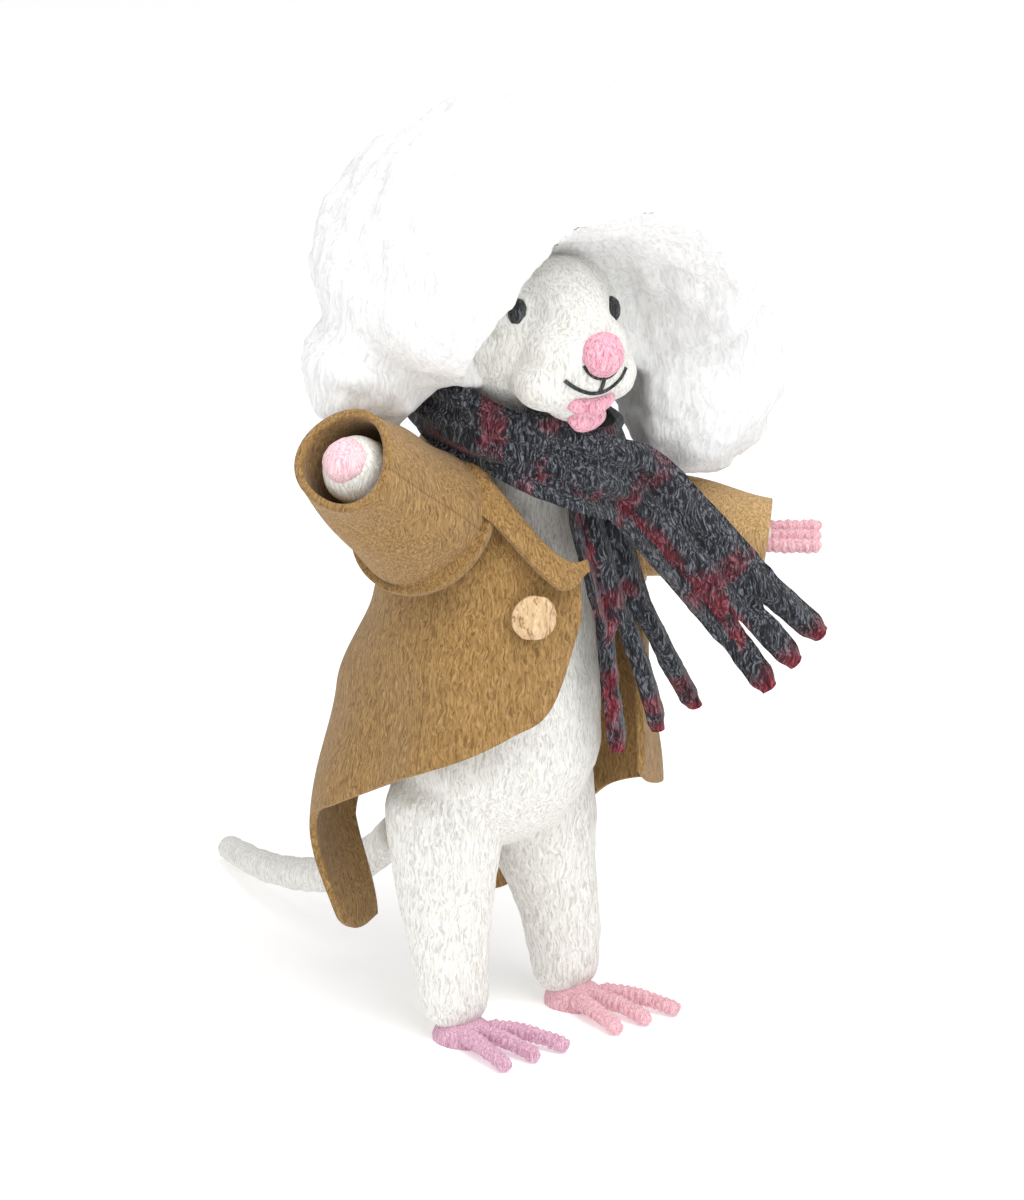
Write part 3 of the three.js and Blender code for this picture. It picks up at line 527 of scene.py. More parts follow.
def tartan_finish():
    """Brushed charcoal wool with red stripes both ways, pale flecks and brighter red at the cut tips."""
    material = bpy.data.materials.new("tartan")
    shader = shader_of(material)
    tree = material.node_tree
    laid = node(tree, "ShaderNodeAttribute", attribute_name="weave").outputs["Vector"]
    place = node(tree, "ShaderNodeTexCoord").outputs["Object"]
    wobble = node(tree, "ShaderNodeTexNoise", {"Vector": place, "Scale": 700.0, "Detail": 3.0}).outputs["Fac"]
    split = node(tree, "ShaderNodeSeparateXYZ", {0: laid}).outputs
    across = maths(tree, "ADD", split[0], maths(tree, "MULTIPLY", wobble, 2.4))
    down = maths(tree, "ADD", split[1], maths(tree, "MULTIPLY", wobble, 2.4))

    def stripe(value, pitch, offset, width):
        turn = maths(tree, "FRACT", maths(tree, "DIVIDE", maths(tree, "ADD", value, offset), pitch))
        near = maths(tree, "ABSOLUTE", maths(tree, "SUBTRACT", turn, 0.5))
        return node(tree, "ShaderNodeMapRange",
                    {"Value": near, "From Min": width, "From Max": width * 0.55}).outputs[0]

    red_down = stripe(across, 13.0, 1.5, 0.13)
    red_over = maths(tree, "MULTIPLY", stripe(down, 19.0, 4.0, 0.12), 0.55)
    tip = node(tree, "ShaderNodeMapRange", {"Value": split[2], "From Min": 0.93, "From Max": 0.99}).outputs[0]
    red = maths(tree, "MAXIMUM", maths(tree, "MAXIMUM", maths(tree, "MULTIPLY", red_down, 0.8), red_over), tip)
    group = node(tree, "ShaderNodeGroup", node_tree=MATTED)
    group.inputs["Main"].default_value = colour(40, 41, 46)
    group.inputs["Light"].default_value = colour(122, 126, 134)
    group.inputs["Dark"].default_value = colour(14, 14, 17)
    group.inputs["Fibre size"].default_value = 0.35
    reds = node(tree, "ShaderNodeGroup", node_tree=MATTED)
    reds.inputs["Main"].default_value = colour(112, 30, 42)
    reds.inputs["Light"].default_value = colour(170, 74, 84)
    reds.inputs["Dark"].default_value = colour(48, 16, 24)
    reds.inputs["Fibre size"].default_value = 0.35
    fade = node(tree, "ShaderNodeTexNoise", {"Vector": place, "Scale": 200.0, "Detail": 3.0}).outputs["Fac"]
    patchy = node(tree, "ShaderNodeMapRange", {"Value": fade, "From Min": 0.42, "From Max": 0.60}).outputs[0]
    shown = maths(tree, "MULTIPLY", red, maths(tree, "MAXIMUM", patchy, tip))
    tone = mixed(tree, shown, group.outputs["Colour"], reds.outputs["Colour"])
    bumped = node(tree, "ShaderNodeBump", {"Height": group.outputs["Height"], "Strength": 0.5, "Distance": 0.0006})
    tree.links.new(tone, shader.inputs["Base Color"])
    tree.links.new(bumped.outputs[0], shader.inputs["Normal"])
    shader.inputs["Roughness"].default_value = 0.95
    shader.inputs["Specular IOR Level"].default_value = 0.1
    shader.inputs["Sheen Weight"].default_value = 0.2
    return material


TARTAN = tartan_finish()
HAIR_CORE = wool_finish("hair_wool", colour(238, 238, 237), colour(250, 250, 250), colour(222, 222, 224), fibre=0.6,
                        bump=0.4, soft=0.0)


# ---------------- fibres ----------------

FIBRE_INPUTS = (
    ("Density", "NodeSocketFloat", 1e6), ("Length", "NodeSocketFloat", 0.002), ("Spread", "NodeSocketFloat", 0.4),
    ("Thickness", "NodeSocketFloat", 5e-5), ("Lift", "NodeSocketFloat", 0.4), ("Flow size", "NodeSocketFloat", 0.01),
    ("Mess", "NodeSocketFloat", 0.3), ("Curl", "NodeSocketFloat", 0.001), ("Curl size", "NodeSocketFloat", 0.004),
    ("Frizz", "NodeSocketFloat", 0.0002), ("Frizz size", "NodeSocketFloat", 0.001), ("Droop", "NodeSocketFloat", 0.0),
    ("Points", "NodeSocketInt", 5), ("Seed", "NodeSocketInt", 1), ("Material", "NodeSocketMaterial", None),
)


def make_fibre_tree():
    """Grows bent, tapered fibres from a surface, lying along a flow that wanders over it."""
    tree = bpy.data.node_groups.new("grown_fibres", "GeometryNodeTree")
    tree.interface.new_socket("Geometry", in_out="INPUT", socket_type="NodeSocketGeometry")
    for label, kind, default in FIBRE_INPUTS:
        socket = tree.interface.new_socket(label, in_out="INPUT", socket_type=kind)
        if default is not None:
            socket.default_value = default
    tree.interface.new_socket("Geometry", in_out="OUTPUT", socket_type="NodeSocketGeometry")
    given = node(tree, "NodeGroupInput").outputs

    def vector(operation, a, b=None, scale=None):
        made = node(tree, "ShaderNodeVectorMath", {0: a}, operation=operation)
        if b is not None:
            node_input(made, 1, b)
        if scale is not None:
            node_input(made, 3, scale)
        return made.outputs[0]

    def node_input(made, place, value):
        if isinstance(value, bpy.types.NodeSocket):
            tree.links.new(value, made.inputs[place])
        else:
            made.inputs[place].default_value = value

    def wander(size):
        """A smooth vector from -0.5 to 0.5 that changes over the given size."""
        fineness = maths(tree, "DIVIDE", 1.0, size)
        spot = node(tree, "GeometryNodeInputPosition").outputs[0]
        noise = node(tree, "ShaderNodeTexNoise", {"Vector": spot, "Scale": fineness, "Detail": 1.0})
        return vector("SUBTRACT", noise.outputs["Color"], (0.5, 0.5, 0.5))

    seeds = node(tree, "GeometryNodeDistributePointsOnFaces",
                 {"Mesh": given["Geometry"], "Density": given["Density"], "Seed": given["Seed"]})
    normal = seeds.outputs["Normal"]
    jitter = node(tree, "FunctionNodeRandomValue", {0: (-1, -1, -1), 1: (1, 1, 1), "Seed": given["Seed"]},
                  data_type="FLOAT_VECTOR").outputs[0]
    flow = vector("ADD", wander(given["Flow size"]), vector("SCALE", jitter, scale=given["Mess"]))
    tangent = vector("NORMALIZE", vector("CROSS_PRODUCT", normal, flow))
    heading = vector("ADD", tangent, vector("SCALE", normal, scale=given["Lift"]))
    turned = node(tree, "FunctionNodeAlignRotationToVector", {"Vector": heading}, axis="Z")
    line = node(tree, "GeometryNodeCurvePrimitiveLine", {"Start": (0, 0, 0), "End": (0, 0, 1)})
    stem = node(tree, "GeometryNodeResampleCurve", {"Curve": line.outputs[0], "Count": given["Points"]})
    least = maths(tree, "MULTIPLY", given["Length"], maths(tree, "SUBTRACT", 1.0, given["Spread"]))
    most = maths(tree, "MULTIPLY", given["Length"], maths(tree, "ADD", 1.0, given["Spread"]))
    length = node(tree, "FunctionNodeRandomValue", {2: least, 3: most, "Seed": given["Seed"]}, data_type="FLOAT")
    placed = node(tree, "GeometryNodeInstanceOnPoints", {
        "Points": seeds.outputs["Points"], "Instance": stem.outputs[0],
        "Rotation": turned.outputs[0], "Scale": length.outputs[1],
    })
    real = node(tree, "GeometryNodeRealizeInstances", {0: placed.outputs[0]})
    share = node(tree, "GeometryNodeSplineParameter").outputs["Factor"]
    curl = vector("SCALE", wander(given["Curl size"]), scale=maths(tree, "MULTIPLY", share, given["Curl"]))
    frizz = vector("SCALE", wander(given["Frizz size"]), scale=maths(tree, "MULTIPLY", share, given["Frizz"]))
    fall = maths(tree, "MULTIPLY", maths(tree, "MULTIPLY", share, share), given["Droop"])
    down = vector("SCALE", (0.0, 0.0, -1.0), scale=fall)
    bent = node(tree, "GeometryNodeSetPosition",
                {"Geometry": real.outputs[0], "Offset": vector("ADD", vector("ADD", curl, frizz), down)})
    taper = maths(tree, "SUBTRACT", 1.0, maths(tree, "MULTIPLY", share, 0.6))
    thin = node(tree, "GeometryNodeSetCurveRadius", {
        "Curve": bent.outputs[0], "Radius": maths(tree, "MULTIPLY", taper, given["Thickness"]),
    })
    section = node(tree, "GeometryNodeCurvePrimitiveCircle", {"Resolution": 3, "Radius": 1.0})
    solid = node(tree, "GeometryNodeCurveToMesh",
                 {"Curve": thin.outputs[0], "Profile Curve": section.outputs[0], "Fill Caps": True})
    whole = node(tree, "GeometryNodeRealizeInstances", {0: solid.outputs[0]})
    dressed = node(tree, "GeometryNodeSetMaterial", {"Geometry": whole.outputs[0], "Material": given["Material"]})
    sent = node(tree, "NodeGroupOutput")
    tree.links.new(dressed.outputs[0], sent.inputs[0])
    return tree


FIBRE_TREE = make_fibre_tree()
FIBRE_SOCKETS = {
    item.name: item.identifier for item in FIBRE_TREE.interface.items_tree if item.in_out == "INPUT"
}


def fibres(name, bed, material, **sizes):
    """Fibres that grow from the bed's faces, as a plain mesh. Sizes are in millimetres, Density per mm2."""
    scaled = {"Density": 1e6, "Length": MM, "Thickness": MM, "Flow_size": MM, "Curl": MM, "Curl_size": MM,
              "Frizz": MM, "Frizz_size": MM, "Droop": MM}
    holder = bpy.data.objects.new(name, bed.data.copy())
    scene.collection.objects.link(holder)
    holder.data.materials.clear()
    modifier = holder.modifiers.new("fibres", "NODES")
    modifier.node_group = FIBRE_TREE
    for key, value in sizes.items():
        factor = scaled.get(key, 1)
        modifier[FIBRE_SOCKETS[key.replace("_", " ")]] = value if factor == 1 else float(value * factor)
    modifier[FIBRE_SOCKETS["Material"]] = material
    settle(holder)
    return holder


def bed(piece, keep):
    """A copy of the faces of a piece for which keep(middle, normal) is true, both in millimetres."""
    mesh = piece.data
    used = {}
    points = []
    faces = []
    for polygon in mesh.polygons:
        middle = (polygon.center - ORIGIN) / MM
        if not keep(middle, polygon.normal):
            continue
        face = []
        for index in polygon.vertices:
            if index not in used:
                used[index] = len(points)
                points.append(mesh.vertices[index].co.copy())
            face.append(used[index])
        faces.append(face)
    patch = bpy.data.meshes.new(piece.name + "_bed")
    patch.from_pydata(points, [], faces)
    made = bpy.data.objects.new(piece.name + "_bed", patch)
    return made


def finish_piece(piece, material, body, nodes=()):
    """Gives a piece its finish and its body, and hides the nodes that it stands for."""
    piece.data.materials.clear()
    piece.data.materials.append(material)
    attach(piece, body)
    if nodes:
        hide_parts(*nodes)
    return piece


# ---------------- places on the mouse ----------------

HIP = 36
NECK_Y = -3
RIGHT_SHOULDER = Vector((-17, 0, 83))
LEFT_SHOULDER = Vector((17, -1, 78))
RIGHT_ARM = Vector((-0.80, -0.15, 0.58)).normalized()
LEFT_ARM = Vector((0.69, -0.69, -0.17)).normalized()
RIGHT_ARM_LENGTH = 29
LEFT_ARM_LENGTH = 27.5
STANCE = 12  # from the middle of the body to each ankle
HEAD_Z = 112
HEAD_TURN = math.radians(-11.5)
TOE_SPREAD = 0.3

TORSO_PATH = ((0, 3, 28), (0, 3, 40), (0, 2.5, 57.5), (0, 0.5, 73), (0, -1.5, 88), (0, -3, 97))
TORSO_WIDTHS = (15.5, 17.5, 17, 14.5, 11.5, 8)
TORSO_DEPTHS = (12.5, 14.5, 14.5, 12, 10.5, 8)


# ---------------- body, legs and feet ----------------

def leg_points(side):
    x = side * STANCE
    return ((x * 0.8, 4.5, 44), (x * 0.88, 3.5, 27), (x, 1, 12.6), (x, -0.5, 1.2))


def make_body():
    torso = limb("torso_form", TORSO_PATH, TORSO_WIDTHS, TORSO_DEPTHS, ref=(0, 1, 0))
    parts = [torso]
    for side in (-1, 1):
        parts.append(limb("leg_form", leg_points(side), (9.2, 8.6, 6.4, 4.7), ref=(0, 1, 0)))
    parts.append(ball("shoulder_form", RIGHT_SHOULDER, 8))
    parts.append(ball("shoulder_form", LEFT_SHOULDER, 6.4))
    body = felted(joined("body_wool", parts), 0.7, smooth=8, lumps=((9, 1.0), (2.4, 0.35)))
    keep_above_floor(body)
    finish_piece(body, WHITE, "body", ("torso", "right_leg", "left_leg"))
    return body


def keep_above_floor(piece):
    lowest = cad_low.z
    for vertex in piece.data.vertices:
        if vertex.co.z < lowest:
            vertex.co.z = lowest


def make_foot(side, name, finish):
    """The pink wool wrapped round the bent wire of a foot and its three toes."""
    x = side * STANCE
    sole = felted(ball(f"{name}_foot_wool", (x, -2.2, 0.6), 4.5, 5.4, 3.4), 0.35, smooth=4, lumps=((2, 0.35),))
    keep_above_floor(sole)
    finish_piece(sole, finish, "body", (f"{name}_foot",))
    toes = []
    for i in range(3):
        lean = (i - 1) * TOE_SPREAD
        root = Vector((x + (i - 1) * 2.5, -4.5, 2.1))
        tip = root + Vector((lean * 13.5, -13.5, -0.85))
        bend = root.lerp(tip, 0.5) + Vector((0.25 * (i - 1), 0, 0.5))
        toe = limb(f"{name}_toe_{i + 1}_wool", (root, bend, tip), (1.3, 1.35, 1.15, 1.2), sides=24, rings=60)
        wrap_wool(toe, tip - root, 1.15, 0.12)
        keep_above_floor(toe)
        finish_piece(toe, finish, "body", (f"{name}_toe_{i + 1}",))
        toes.append(toe)
    return [sole] + toes


def wrap_wool(piece, axis, pitch, depth):
    """Low winding ridges where wool is wrapped round a wire along that axis."""
    run = Vector(axis).normalized()
    side = run.cross(Vector((0, 0, 1))).normalized()
    up = side.cross(run)
    mesh = piece.data
    middle = sum((v.co for v in mesh.vertices), Vector()) / len(mesh.vertices)
    for vertex in mesh.vertices:
        offset = (vertex.co - middle) / MM
        turn = math.atan2(offset.dot(up), offset.dot(side))
        ridge = math.sin(2 * math.pi * offset.dot(run) / pitch + turn)
        vertex.co += vertex.normal * (ridge * depth * MM)
    lumpy(piece, 1.5, 0.35)
    settle(piece)


# ---------------- tail ----------------

def make_tail():
    points = ((0, 15.5, 31), (1.6, 22, 27), (4, 31, 20), (4, 40, 13.2), (6.5, 51, 9.4), (12, 66, 5.9), (22, 84.5, 2.3))
    tail = limb("tail_wool", points, (2.9, 2.9, 2.75, 2.5, 2.2, 1.8), ref=(1, 0, 0), sides=28, rings=150)
    lumpy(tail, 5, 0.7)
    lumpy(tail, 1.4, 0.25)
    settle(tail)
    keep_above_floor(tail)
    return finish_piece(tail, WHITE, "tail", ("tail",))


# ---------------- arms and hands ----------------

def across_arm(direction):
    return Vector((0, 0, 1)).cross(direction).normalized()


def make_arm(name, shoulder, direction, length, paw_radius, body):
    paw = shoulder + direction * length
    start = shoulder + direction * 6
    arm = limb(f"{name}_arm_wool", (start, start.lerp(paw, 0.5), paw), (paw_radius,) * 3, rings=30)
    arm = felted(arm, 0.45, smooth=4, lumps=((4, 0.6), (1.3, 0.25)))
    return finish_piece(arm, WHITE, body, (f"{name}_arm",))


def make_right_fingers(body):
    """Four pink finger ends in a close bunch in the middle of the palm, and the pink wool round them."""
    end = RIGHT_SHOULDER + RIGHT_ARM * (RIGHT_ARM_LENGTH + 0.2)
    side = across_arm(RIGHT_ARM)
    up = RIGHT_ARM.cross(side)
    made = []
    places = ((-1.5, 0.7), (0.6, 1.3), (1.7, -0.6), (-0.5, -1.2))
    for i, (a, b) in enumerate(places):
        tip = end + side * a + up * b
        finger = limb(f"right_finger_{i + 1}_wool", (tip - RIGHT_ARM * 3, tip - RIGHT_ARM * 1.5, tip), (1.15, 1.2, 1.1),
                      sides=20, rings=14)
        lumpy(finger, 1.2, 0.3)
        settle(finger)
        made.append(finish_piece(finger, PINK, body, (f"right_finger_{i + 1}",)))
    patch = ball("right_palm_wool", end - RIGHT_ARM * 2.2, 3.6, 3.6, 3.6)
    lumpy(patch, 1.6, 0.5)
    settle(patch)
    made.append(finish_piece(patch, PALM, body))
    return made


def make_left_fingers(body):
    """Three long fingers of wrapped wool, held level."""
    paw = LEFT_SHOULDER + LEFT_ARM * LEFT_ARM_LENGTH
    side = across_arm(LEFT_ARM)
    level = Vector((LEFT_ARM.x, LEFT_ARM.y, 0)).normalized()
    made = []
    for i in range(3):
        offset = (i - 1) * 2.7
        root = paw - LEFT_ARM * 2.5 + side * offset + Vector((0, 0, 0.5 * (i - 1)))
        tip = root + level * 10 + side * offset * 0.25
        finger = limb(f"left_finger_{i + 1}_wool", (root, root.lerp(tip, 0.5), tip), (1.05, 1.1, 1.0), sides=20,
                      rings=40)
        wrap_wool(finger, tip - root, 1.2, 0.1)
        made.append(finish_piece(finger, PINK, body, (f"left_finger_{i + 1}",)))
    return made


# ---------------- head and face ----------------

def on_head(piece):
    """Turns a piece made facing straight ahead to where the head faces."""
    middle = metres((0, 0, 0))
    turn = Matrix.Translation(metres((0, NECK_Y, 0))) @ Matrix.Rotation(HEAD_TURN, 4, "Z")
    piece.data.transform(turn @ Matrix.Translation(-middle))
    return piece


def make_head():
    skull = ball("skull", (0, 0, HEAD_Z), 14.5)
    snout = ball("snout", (0, -11, HEAD_Z - 1.4), 8.8, 11, 8.2)
    bridge = limb("bridge", ((0, -4, 121), (0, -12.5, 117.3), (0, -20, 112.4)), (7, 5.6, 3.4), rings=20)
    cheeks = [ball("cheek", (x, -13.5, HEAD_Z - 5), 5.6, 6, 4.6) for x in (-4.6, 4.6)]
    chin = ball("chin", (0, -13.5, HEAD_Z - 8), 5.5, 5.5, 4)
    return felted(joined("head_wool", [skull, snout, bridge, chin] + cheeks), 0.5, smooth=10,
                  lumps=((6, 0.7), (1.7, 0.22)))


def surface_finder(piece):
    """Where a straight line from in front of the face meets the piece, in millimetres."""
    net = BVHTree.FromPolygons([v.co for v in piece.data.vertices], [p.vertices for p in piece.data.polygons])

    def find(x, z, lift=0.0):
        hit = net.ray_cast(metres((x, -60, z)), Vector((0, 1, 0)))[0]
        place = (hit - ORIGIN) / MM
        return Vector((place.x, place.y - lift, place.z))

    return find


def make_face():
    head = make_head()
    find = surface_finder(head)
    made = []
    for side, name in ((-1, "right_eye"), (1, "left_eye")):
        place = find(-8.0, HEAD_Z + 5.6) if side < 0 else find(8.6, HEAD_Z + 3.2)
        eye = ball(f"{name}_wool", place + Vector((0, 0.35, 0)), 1.6, 1.25, 2.1, segments=32)
        lumpy(eye, 0.9, 0.35)
        settle(eye)
        made.append(finish_piece(on_head(eye), BLACK, "head", (name,)))
    nose = ball("nose_wool", (0, -21.5, HEAD_Z + 0.4), 3.35, 2.9, 3.45, segments=56)
    lumpy(nose, 3, 0.7)
    lumpy(nose, 0.9, 0.35)
    settle(nose)
    made.append(finish_piece(on_head(nose), ROSE, "head", ("nose",)))
    made.append(make_tongue(find))
    made.append(make_mouth(find))
    finish_piece(on_head(head), WHITE, "head", ("head",))
    for side, name in ((-1, "right_ear"), (1, "left_ear")):
        ear = ball(f"{name}_wool", (side * 20.0, -1, HEAD_Z + 2), 6, 1.5, 6.6)
        made.append(finish_piece(on_head(ear), PINK, "head", (name,)))
    return head, made


def make_tongue(find):
    """A pink lower lip, hollow along its top where the mouth is."""
    upper = [find(x, HEAD_Z - 8.3 + 0.055 * x * x, -0.4) for x in (-4.2, -2.1, 0, 2.1, 4.2)]
    lip = limb("lip_form", upper, (0.9, 1.5, 1.7, 1.5, 0.9), rings=30)
    lower = ball("tongue_form", find(0, HEAD_Z - 10.6, -0.6), 3.3, 1.7, 2.3)
    tongue = felted(joined("tongue_wool", [lip, lower]), 0.3, smooth=6, lumps=((2, 0.5), (0.8, 0.15)))
    return finish_piece(on_head(tongue), ROSE, "head", ("tongue",))


def make_mouth(find):
    """The black thread: round the bottom of the nose, down, and out into the curve of the mouth."""
    nose_z = HEAD_Z + 0.4
    under = []
    for i in range(9):
        a = math.radians(200 + 140 * i / 8)
        x = 3.5 * math.cos(a)
        z = nose_z + 3.6 * math.sin(a)
        under.append(find(x, z, 0.15))
    drop = [find(0, nose_z - 3.4 - 0.9 * i, 0.15) for i in range(4)]
    smile = [find(x, HEAD_Z - 5.9 + 0.085 * x * x, 0.12) for x in (-5.6, -4.2, -2.8, -1.4, 0, 1.4, 2.8, 4.2, 5.6)]
    threads = [tube("thread", points, 0.33, sides=8, count=40) for points in (under, drop, smile)]
    mouth = joined("mouth_thread_wool", threads)
    return finish_piece(on_head(mouth), BLACK, "head", ("mouth_thread",))


# ---------------- hair ----------------

HAIR_MIDDLE = 121
HAIR_LEFT = 3


def hair_form(grow=0.0):
    """The cloud round the head: wide level, rise, drop and width as one closed surface."""
    net = []
    faces = []
    rows = 60
    columns = 120
    for r in range(rows + 1):
        polar = math.pi * (r / rows - 0.5)
        height = (29 if polar > 0 else 22) + grow
        radius = (38 + grow) * math.cos(polar)
        for c in range(columns):
            turn = 2 * math.pi * c / columns
            net.append((HAIR_LEFT + radius * math.cos(turn), 0.94 * radius * math.sin(turn),
                        HAIR_MIDDLE + height * math.sin(polar)))
    for r in range(rows):
        for c in range(columns):
            d = (c + 1) % columns
            faces.append((r * columns + c, r * columns + d, (r + 1) * columns + d, (r + 1) * columns + c))
    return weld(make_mesh("hair_form", net, faces))


def make_hair_core():
    """The teased wool under the loose fibres: a lumpy cloud, open at the face and over the scarf."""
    core = hair_form(-3.4)
    core = joined("hair_form", [core, ball("left_lobe", (29, -3, 101), 15, 13, 16), ball("right_lobe", (-24, 6, 108), 11)])
    add_modifier(core, "REMESH", mode="VOXEL", voxel_size=1.2 * MM)
    settle(core)
    opening = limb("opening", ((0, -4, HEAD_Z - 3), (0, -24, HEAD_Z - 3), (0, -48, HEAD_Z - 4)), (13.2, 26, 44),
                   ref=(0, 0, 1), ends=(0.3, 0.1))
    carve(core, opening)
    under = limb("under", ((0, 2, 60), (0, 2, 90), (0, 2, 107)), (20, 20, 20), ref=(0, 1, 0), ends=(1, 0.35))
    carve(core, under)
    add_modifier(core, "REMESH", mode="VOXEL", voxel_size=0.9 * MM)
    add_modifier(core, "SMOOTH", factor=0.5, iterations=14)
    lumpy(core, 15, 5.0)
    lumpy(core, 6, 2.2)
    lumpy(core, 2.2, 0.7)
    settle(core)
    core.name = "hair_wool"
    return finish_piece(on_head(core), HAIR_CORE, "head", ("hair",))


# ---------------- coat ----------------

COAT_FRONT = ((11.5, 18), (55, 17.5), (72, 17.5), (86, 14.5), (97, 11))
COAT_SIDE = ((11.5, 24), (35, 25), (60, 21.5), (76, 18.2), (86, 16), (97, 11.5))
COAT_BACK = ((11.5, 27), (30, 32), (52, 26.5), (68, 19.5), (86, 15), (97, 11.5))
HEM_RIGHT = ((-180, 11.5), (-152, 13), (-140, 30), (-122, 36.5), (-90, 44), (-45, 52), (-26, 56), (-9, 69))
HEM_LEFT = ((43, 40), (60, 36), (98, 31), (120, 21), (138, 12), (180, 11.5))
VENT_MIDDLE = 4
VENT_HALF = 7
SEAM = 80
RIGHT_EDGE = -9
LEFT_EDGE = 43
SCARF_LEVEL = 96.5
SCARF_HALF = 5.25


def coat_point(angle, z, out=0.0):
    """The coat's inner face at an angle from the front, + to the mouse's left, and a height."""
    a = math.radians(angle)
    front = smooth_stops(COAT_FRONT, z)
    side = smooth_stops(COAT_SIDE, z)
    back = smooth_stops(COAT_BACK, z)
    depth = front if math.cos(a) > 0 else back
    radius = 1 / math.hypot(math.sin(a) / side, math.cos(a) / depth) + out
    return Vector((radius * math.sin(a), -radius * math.cos(a), z))


def curved_stops(stops, x):
    """Like smooth_stops, but bending evenly through the stops, as a cut edge does."""
    if x <= stops[0][0]:
        return stops[0][1]
    for i in range(len(stops) - 1):
        (x0, y0), (x1, y1) = stops[i], stops[i + 1]
        if x > x1:
            continue
        before = stops[i - 1] if i else stops[i]
        after = stops[i + 2] if i + 2 < len(stops) else stops[i + 1]
        span = x1 - x0
        slope_in = (y1 - before[1]) / max(x1 - before[0], 1e-9) * span
        slope_out = (after[1] - y0) / max(after[0] - x0, 1e-9) * span
        t = (x - x0) / span
        return (
            (2 * t ** 3 - 3 * t ** 2 + 1) * y0 + (t ** 3 - 2 * t ** 2 + t) * slope_in
            + (3 * t ** 2 - 2 * t ** 3) * y1 + (t ** 3 - t ** 2) * slope_out
        )
    return stops[-1][1]


def hem_height(angle):
    return curved_stops(HEM_RIGHT if angle < 0 else HEM_LEFT, angle)


def scarf_centre(angle):
    return SCARF_LEVEL - 6 * math.cos(math.radians(angle - 50))


def collar_height(angle):
    under = scarf_centre(angle) - SCARF_HALF - 0.5
    if abs(angle) > 100:
        return under
    right = ((-95, under), (-70, 93), (RIGHT_EDGE, 77))
    left = ((LEFT_EDGE, 74), (SEAM, 84), (100, under))
    return min(under, smooth_stops(right if angle < 0 else left, angle))


def sway(angle, z):
    """Slow hollows and swells in the felt, more towards the hem."""
    a = math.radians(angle)
    low = 1 - smoothstep(z, 30, 80)
    return 0.35 * math.sin(3 * a + z / 14) + low * (0.9 * math.sin(5 * a + 1.1) + 0.4 * math.sin(9 * a - z / 9))


def lapel_out(angle, share):
    """The right front's upper edge turns out from the body."""
    reach = smoothstep(angle, -75, -40)
    return reach * 0.8 * smoothstep(share, 0.72, 1.0)


def grid_mesh(name, rows, thickness, weave=None, edge=0.35):
    """A sheet from rows of points on its middle surface, with soft square edges. weave gives each point's place."""
    net = [p for row in rows for p in row]
    columns = len(rows[0])
    faces = []
    for r in range(len(rows) - 1):
        for c in range(columns - 1):
            k = r * columns + c
            faces.append((k, k + 1, k + columns + 1, k + columns))
    piece = make_mesh(name, net, faces)
    if weave:
        lay_weave(piece, [w for row in weave for w in row])
    add_modifier(piece, "SOLIDIFY", thickness=thickness * MM, offset=0, use_even_offset=True)
    add_modifier(piece, "BEVEL", width=edge * MM, segments=2, limit_method="ANGLE", angle_limit=math.radians(50))
    return settle(piece)


def lay_weave(piece, places):
    attribute = piece.data.attributes.new("weave", "FLOAT_VECTOR", "POINT")
    attribute.data.foreach_set("vector", np.array(places, np.float32).ravel())


def coat_panel(name, start, end, across, down, nodes, lapel=False):
    rows = []
    for r in range(down + 1):
        share = r / down
        row = []
        for c in range(across + 1):
            angle = start + (end - start) * c / across
            turned = angle - 360 if angle > 180 else angle
            z = hem_height(turned) + (collar_height(turned) - hem_height(turned)) * share
            out = FELT / 2 + sway(turned, z) + (lapel_out(turned, share) if lapel else 0)
            row.append(coat_point(turned, z, out))
        rows.append(row)
    panel = grid_mesh(name, rows, FELT)
    for shoulder, run, radius in ((RIGHT_SHOULDER, RIGHT_ARM, 9.4), (LEFT_SHOULDER, LEFT_ARM, 7.4)):
        hole = limb("armhole", (shoulder - run * 4, shoulder + run * 6, shoulder + run * 22), (radius,) * 3, sides=64,
                    rings=6)
        carve(panel, hole)
    return finish_piece(panel, FELT_OUT, "body", nodes)


def vent_form():
    """The notch cut in the back of the coat, where the mouse's tail comes out."""
    left = VENT_MIDDLE + VENT_HALF
    right = VENT_MIDDLE - VENT_HALF
    outline = [(right, 0), (left, 0), (left, 26.5), (VENT_MIDDLE + 2, 38.5), (VENT_MIDDLE - 2, 38.5), (right, 26.5)]
    count = len(outline)
    net = [(x, 16, z) for x, z in outline] + [(x, 48, z) for x, z in outline]
    faces = [tuple(range(count)), tuple(range(2 * count - 1, count - 1, -1))]
    faces += [(i, (i + 1) % count, count + (i + 1) % count, count + i) for i in range(count)]
    return outward(make_mesh("vent", net, faces))


def make_coat():
    back = coat_panel("coat_back_felt", SEAM + 0.15, 360 - SEAM - 0.15, 190, 90, ("coat_back",))
    carve(back, vent_form())
    right = coat_panel("coat_front_right_felt", -SEAM, RIGHT_EDGE, 84, 70, ("coat_front_right",), lapel=True)
    left = coat_panel("coat_front_left_felt", LEFT_EDGE, SEAM, 44, 64, ("coat_front_left",))
    return back, right, left


